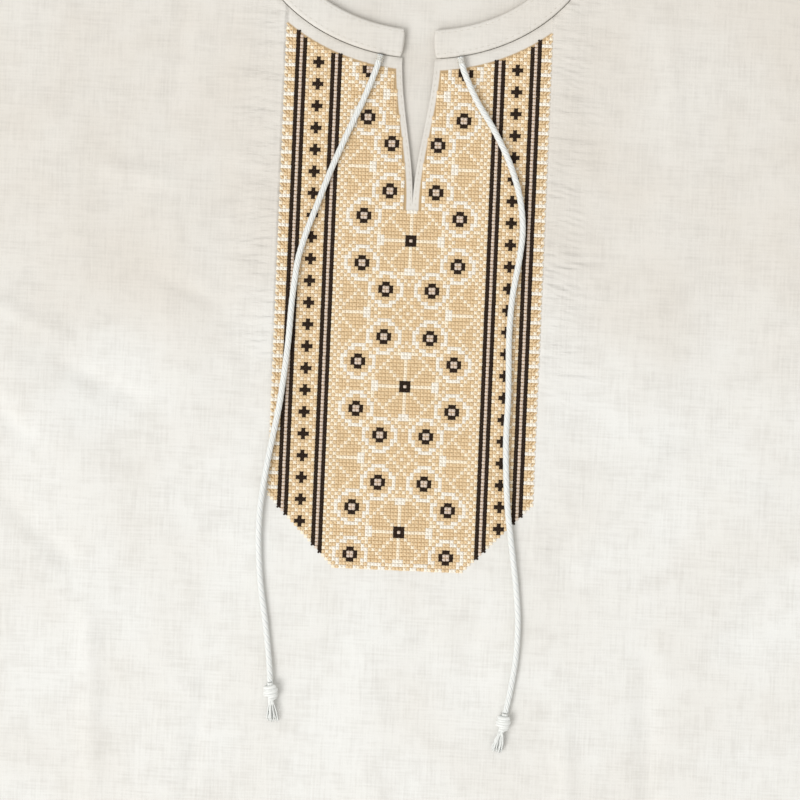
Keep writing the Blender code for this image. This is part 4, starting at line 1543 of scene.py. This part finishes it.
def add_camera(stage):
    """Looks straight down at the chest, turned a little so that the blouse leans to the right."""
    camera = bpy.data.cameras.new("camera")
    camera.sensor_width = SENSOR_WIDTH
    camera.lens = SENSOR_WIDTH * stage.camera_height / stage.view_width
    made = bpy.data.objects.new("camera", camera)
    made.location = (VIEW_ASIDE, MOTIF_Y - VIEW_BELOW_MOTIF, FRONT_TOP + stage.camera_height)
    made.rotation_euler = (0, 0, VIEW_TURN)
    bpy.context.scene.collection.objects.link(made)
    bpy.context.scene.camera = made


def add_floor(stage):
    """A pale matt floor, just below the blouse."""
    bpy.ops.object.select_all(action="DESELECT")
    bpy.ops.mesh.primitive_plane_add(size=FLOOR_SIZE, location=(0, 0, -FLOOR_DROP))
    floor = bpy.context.object
    floor.name = "floor"
    finish = Finish("floor", gloss=0.5)
    place, _, _ = finish.coordinates()
    mottle = finish.noise(place, 3, 4)
    light, dark = shade(stage.floor_colour, 1.02), shade(stage.floor_colour, 0.97)
    finish.set("Base Color", finish.blend(mottle, light, dark))
    finish.set("Roughness", 0.85 + mottle * 0.1)
    floor.data.materials.append(finish.material)


def add_lamp(lamp, place):
    """A lamp at this place, turned to the blouse."""
    made = bpy.data.objects.new(lamp.name, lamp)
    made.location = place
    x, y, z = np.array(LIGHTS_TO) - np.array(place)
    made.rotation_euler = (math.acos(-z / math.hypot(x, y, z)), 0, math.atan2(y, x) - math.pi / 2)
    bpy.context.scene.collection.objects.link(made)


def add_stage(stage):
    """A pale floor, a soft sun from the left, a near window and even light from all round."""
    add_floor(stage)
    sun = bpy.data.lights.new("sun", "SUN")
    sun.energy, sun.angle = stage.sun, SUN_ANGLE
    add_lamp(sun, SUN_FROM)
    window = bpy.data.lights.new("window", "AREA")
    window.energy, window.size = stage.window, WINDOW_SIZE
    add_lamp(window, WINDOW_FROM)
    world = bpy.data.worlds.new("even light")
    world.use_nodes = True
    background = world.node_tree.nodes["Background"]
    background.inputs["Color"].default_value = SKY_COLOUR
    background.inputs["Strength"].default_value = stage.sky
    bpy.context.scene.world = world
    bpy.context.scene.view_settings.view_transform = "Standard"


class IeOperator:
    """What the operators share: they work on the scene's settings and can be undone."""

    bl_options = {"REGISTER", "UNDO"}


class IE_OT_camera(IeOperator, bpy.types.Operator):
    """Places the camera over the chest"""

    bl_idname = "ie.camera"
    bl_label = "Camera"

    def execute(self, context):
        add_camera(context.scene.ie_stage)
        return {"FINISHED"}


class IE_OT_cords(IeOperator, bpy.types.Operator):
    """Lays the two twisted cords with their knotted ends"""

    bl_idname = "ie.cords"
    bl_label = "Tie cords"

    def execute(self, context):
        cotton = cord_finish(context.scene.ie_cord)
        for side in (-1, 1):
            make_cord(side, context.scene.ie_cord, cotton)
        make_bindings(context.scene.ie_sewing)
        return {"FINISHED"}


class IE_OT_body(IeOperator, bpy.types.Operator):
    """Lays the back and the front of the body"""

    bl_idname = "ie.body"
    bl_label = "Body"

    def execute(self, context):
        make_back(context.scene.ie_linen)
        make_front(context.scene.ie_linen)
        return {"FINISHED"}


class IE_OT_sleeves(IeOperator, bpy.types.Operator):
    """Lays the sleeves and the gussets under the arms"""

    bl_idname = "ie.sleeves"
    bl_label = "Sleeves and gussets"

    def execute(self, context):
        for side in (-1, 1):
            make_sleeve(side, context.scene.ie_linen)
            make_gusset(side, context.scene.ie_linen)
        return {"FINISHED"}


class IE_OT_neckband(IeOperator, bpy.types.Operator):
    """Folds the band round the neckline"""

    bl_idname = "ie.neckband"
    bl_label = "Neckband"

    def execute(self, context):
        linen = context.scene.ie_linen
        for side, name in SIDE_NAMES.items():
            make_band(name, band_path_front(side), FRONT_BAND_BOTTOM, BAND_THICKNESS, linen)
        make_band("back", band_path_back(), 0, BACK_BAND_THICKNESS, linen)
        return {"FINISHED"}


class IE_OT_embroidery(IeOperator, bpy.types.Operator):
    """Works the cross-stitch panel from its chart"""

    bl_idname = "ie.embroidery"
    bl_label = "Cross-stitch"

    def execute(self, context):
        make_cross_stitches(context.scene.ie_stitches)
        return {"FINISHED"}


class IE_OT_sewing(IeOperator, bpy.types.Operator):
    """Sews the hems and seams"""

    bl_idname = "ie.sewing"
    bl_label = "Sewing"

    def execute(self, context):
        make_sewing(context.scene.ie_sewing, context.scene.ie_linen)
        return {"FINISHED"}


class IE_OT_stage(IeOperator, bpy.types.Operator):
    """Adds the floor and the lights"""

    bl_idname = "ie.stage"
    bl_label = "Stage"

    def execute(self, context):
        add_stage(context.scene.ie_stage)
        return {"FINISHED"}


SETTINGS = {
    "ie_linen": LinenSettings,
    "ie_stitches": StitchSettings,
    "ie_cord": CordSettings,
    "ie_sewing": SewingSettings,
    "ie_stage": StageSettings,
}
OPERATORS = (
    IE_OT_camera,
    IE_OT_cords,
    IE_OT_body,
    IE_OT_sleeves,
    IE_OT_neckband,
    IE_OT_embroidery,
    IE_OT_sewing,
    IE_OT_stage,
)


class IE_PT_looks(bpy.types.Panel):
    """Lists the settings and the operators in the sidebar"""

    bl_idname = "IE_PT_looks"
    bl_label = "Ie blouse"
    bl_space_type = "VIEW_3D"
    bl_region_type = "UI"
    bl_category = "Ie blouse"

    def draw(self, context):
        for name, group in SETTINGS.items():
            box = self.layout.box()
            for setting in group.__annotations__:
                box.prop(getattr(context.scene, name), setting)
        for operator in OPERATORS:
            self.layout.operator(operator.bl_idname)


def register():
    for name, group in SETTINGS.items():
        bpy.utils.register_class(group)
        setattr(bpy.types.Scene, name, PointerProperty(type=group))
    for one in (*OPERATORS, IE_PT_looks):
        bpy.utils.register_class(one)


def unregister():
    for one in (IE_PT_looks, *reversed(OPERATORS)):
        bpy.utils.unregister_class(one)
    for name, group in SETTINGS.items():
        delattr(bpy.types.Scene, name)
        bpy.utils.unregister_class(group)


def main():
    register()
    bpy.ops.ie.camera()
    bpy.ops.ie.cords()
    bpy.ops.ie.body()
    bpy.ops.ie.sleeves()
    bpy.ops.ie.neckband()
    bpy.ops.ie.embroidery()
    bpy.ops.ie.sewing()
    bpy.ops.ie.stage()


if __name__ == "__main__":
    main()
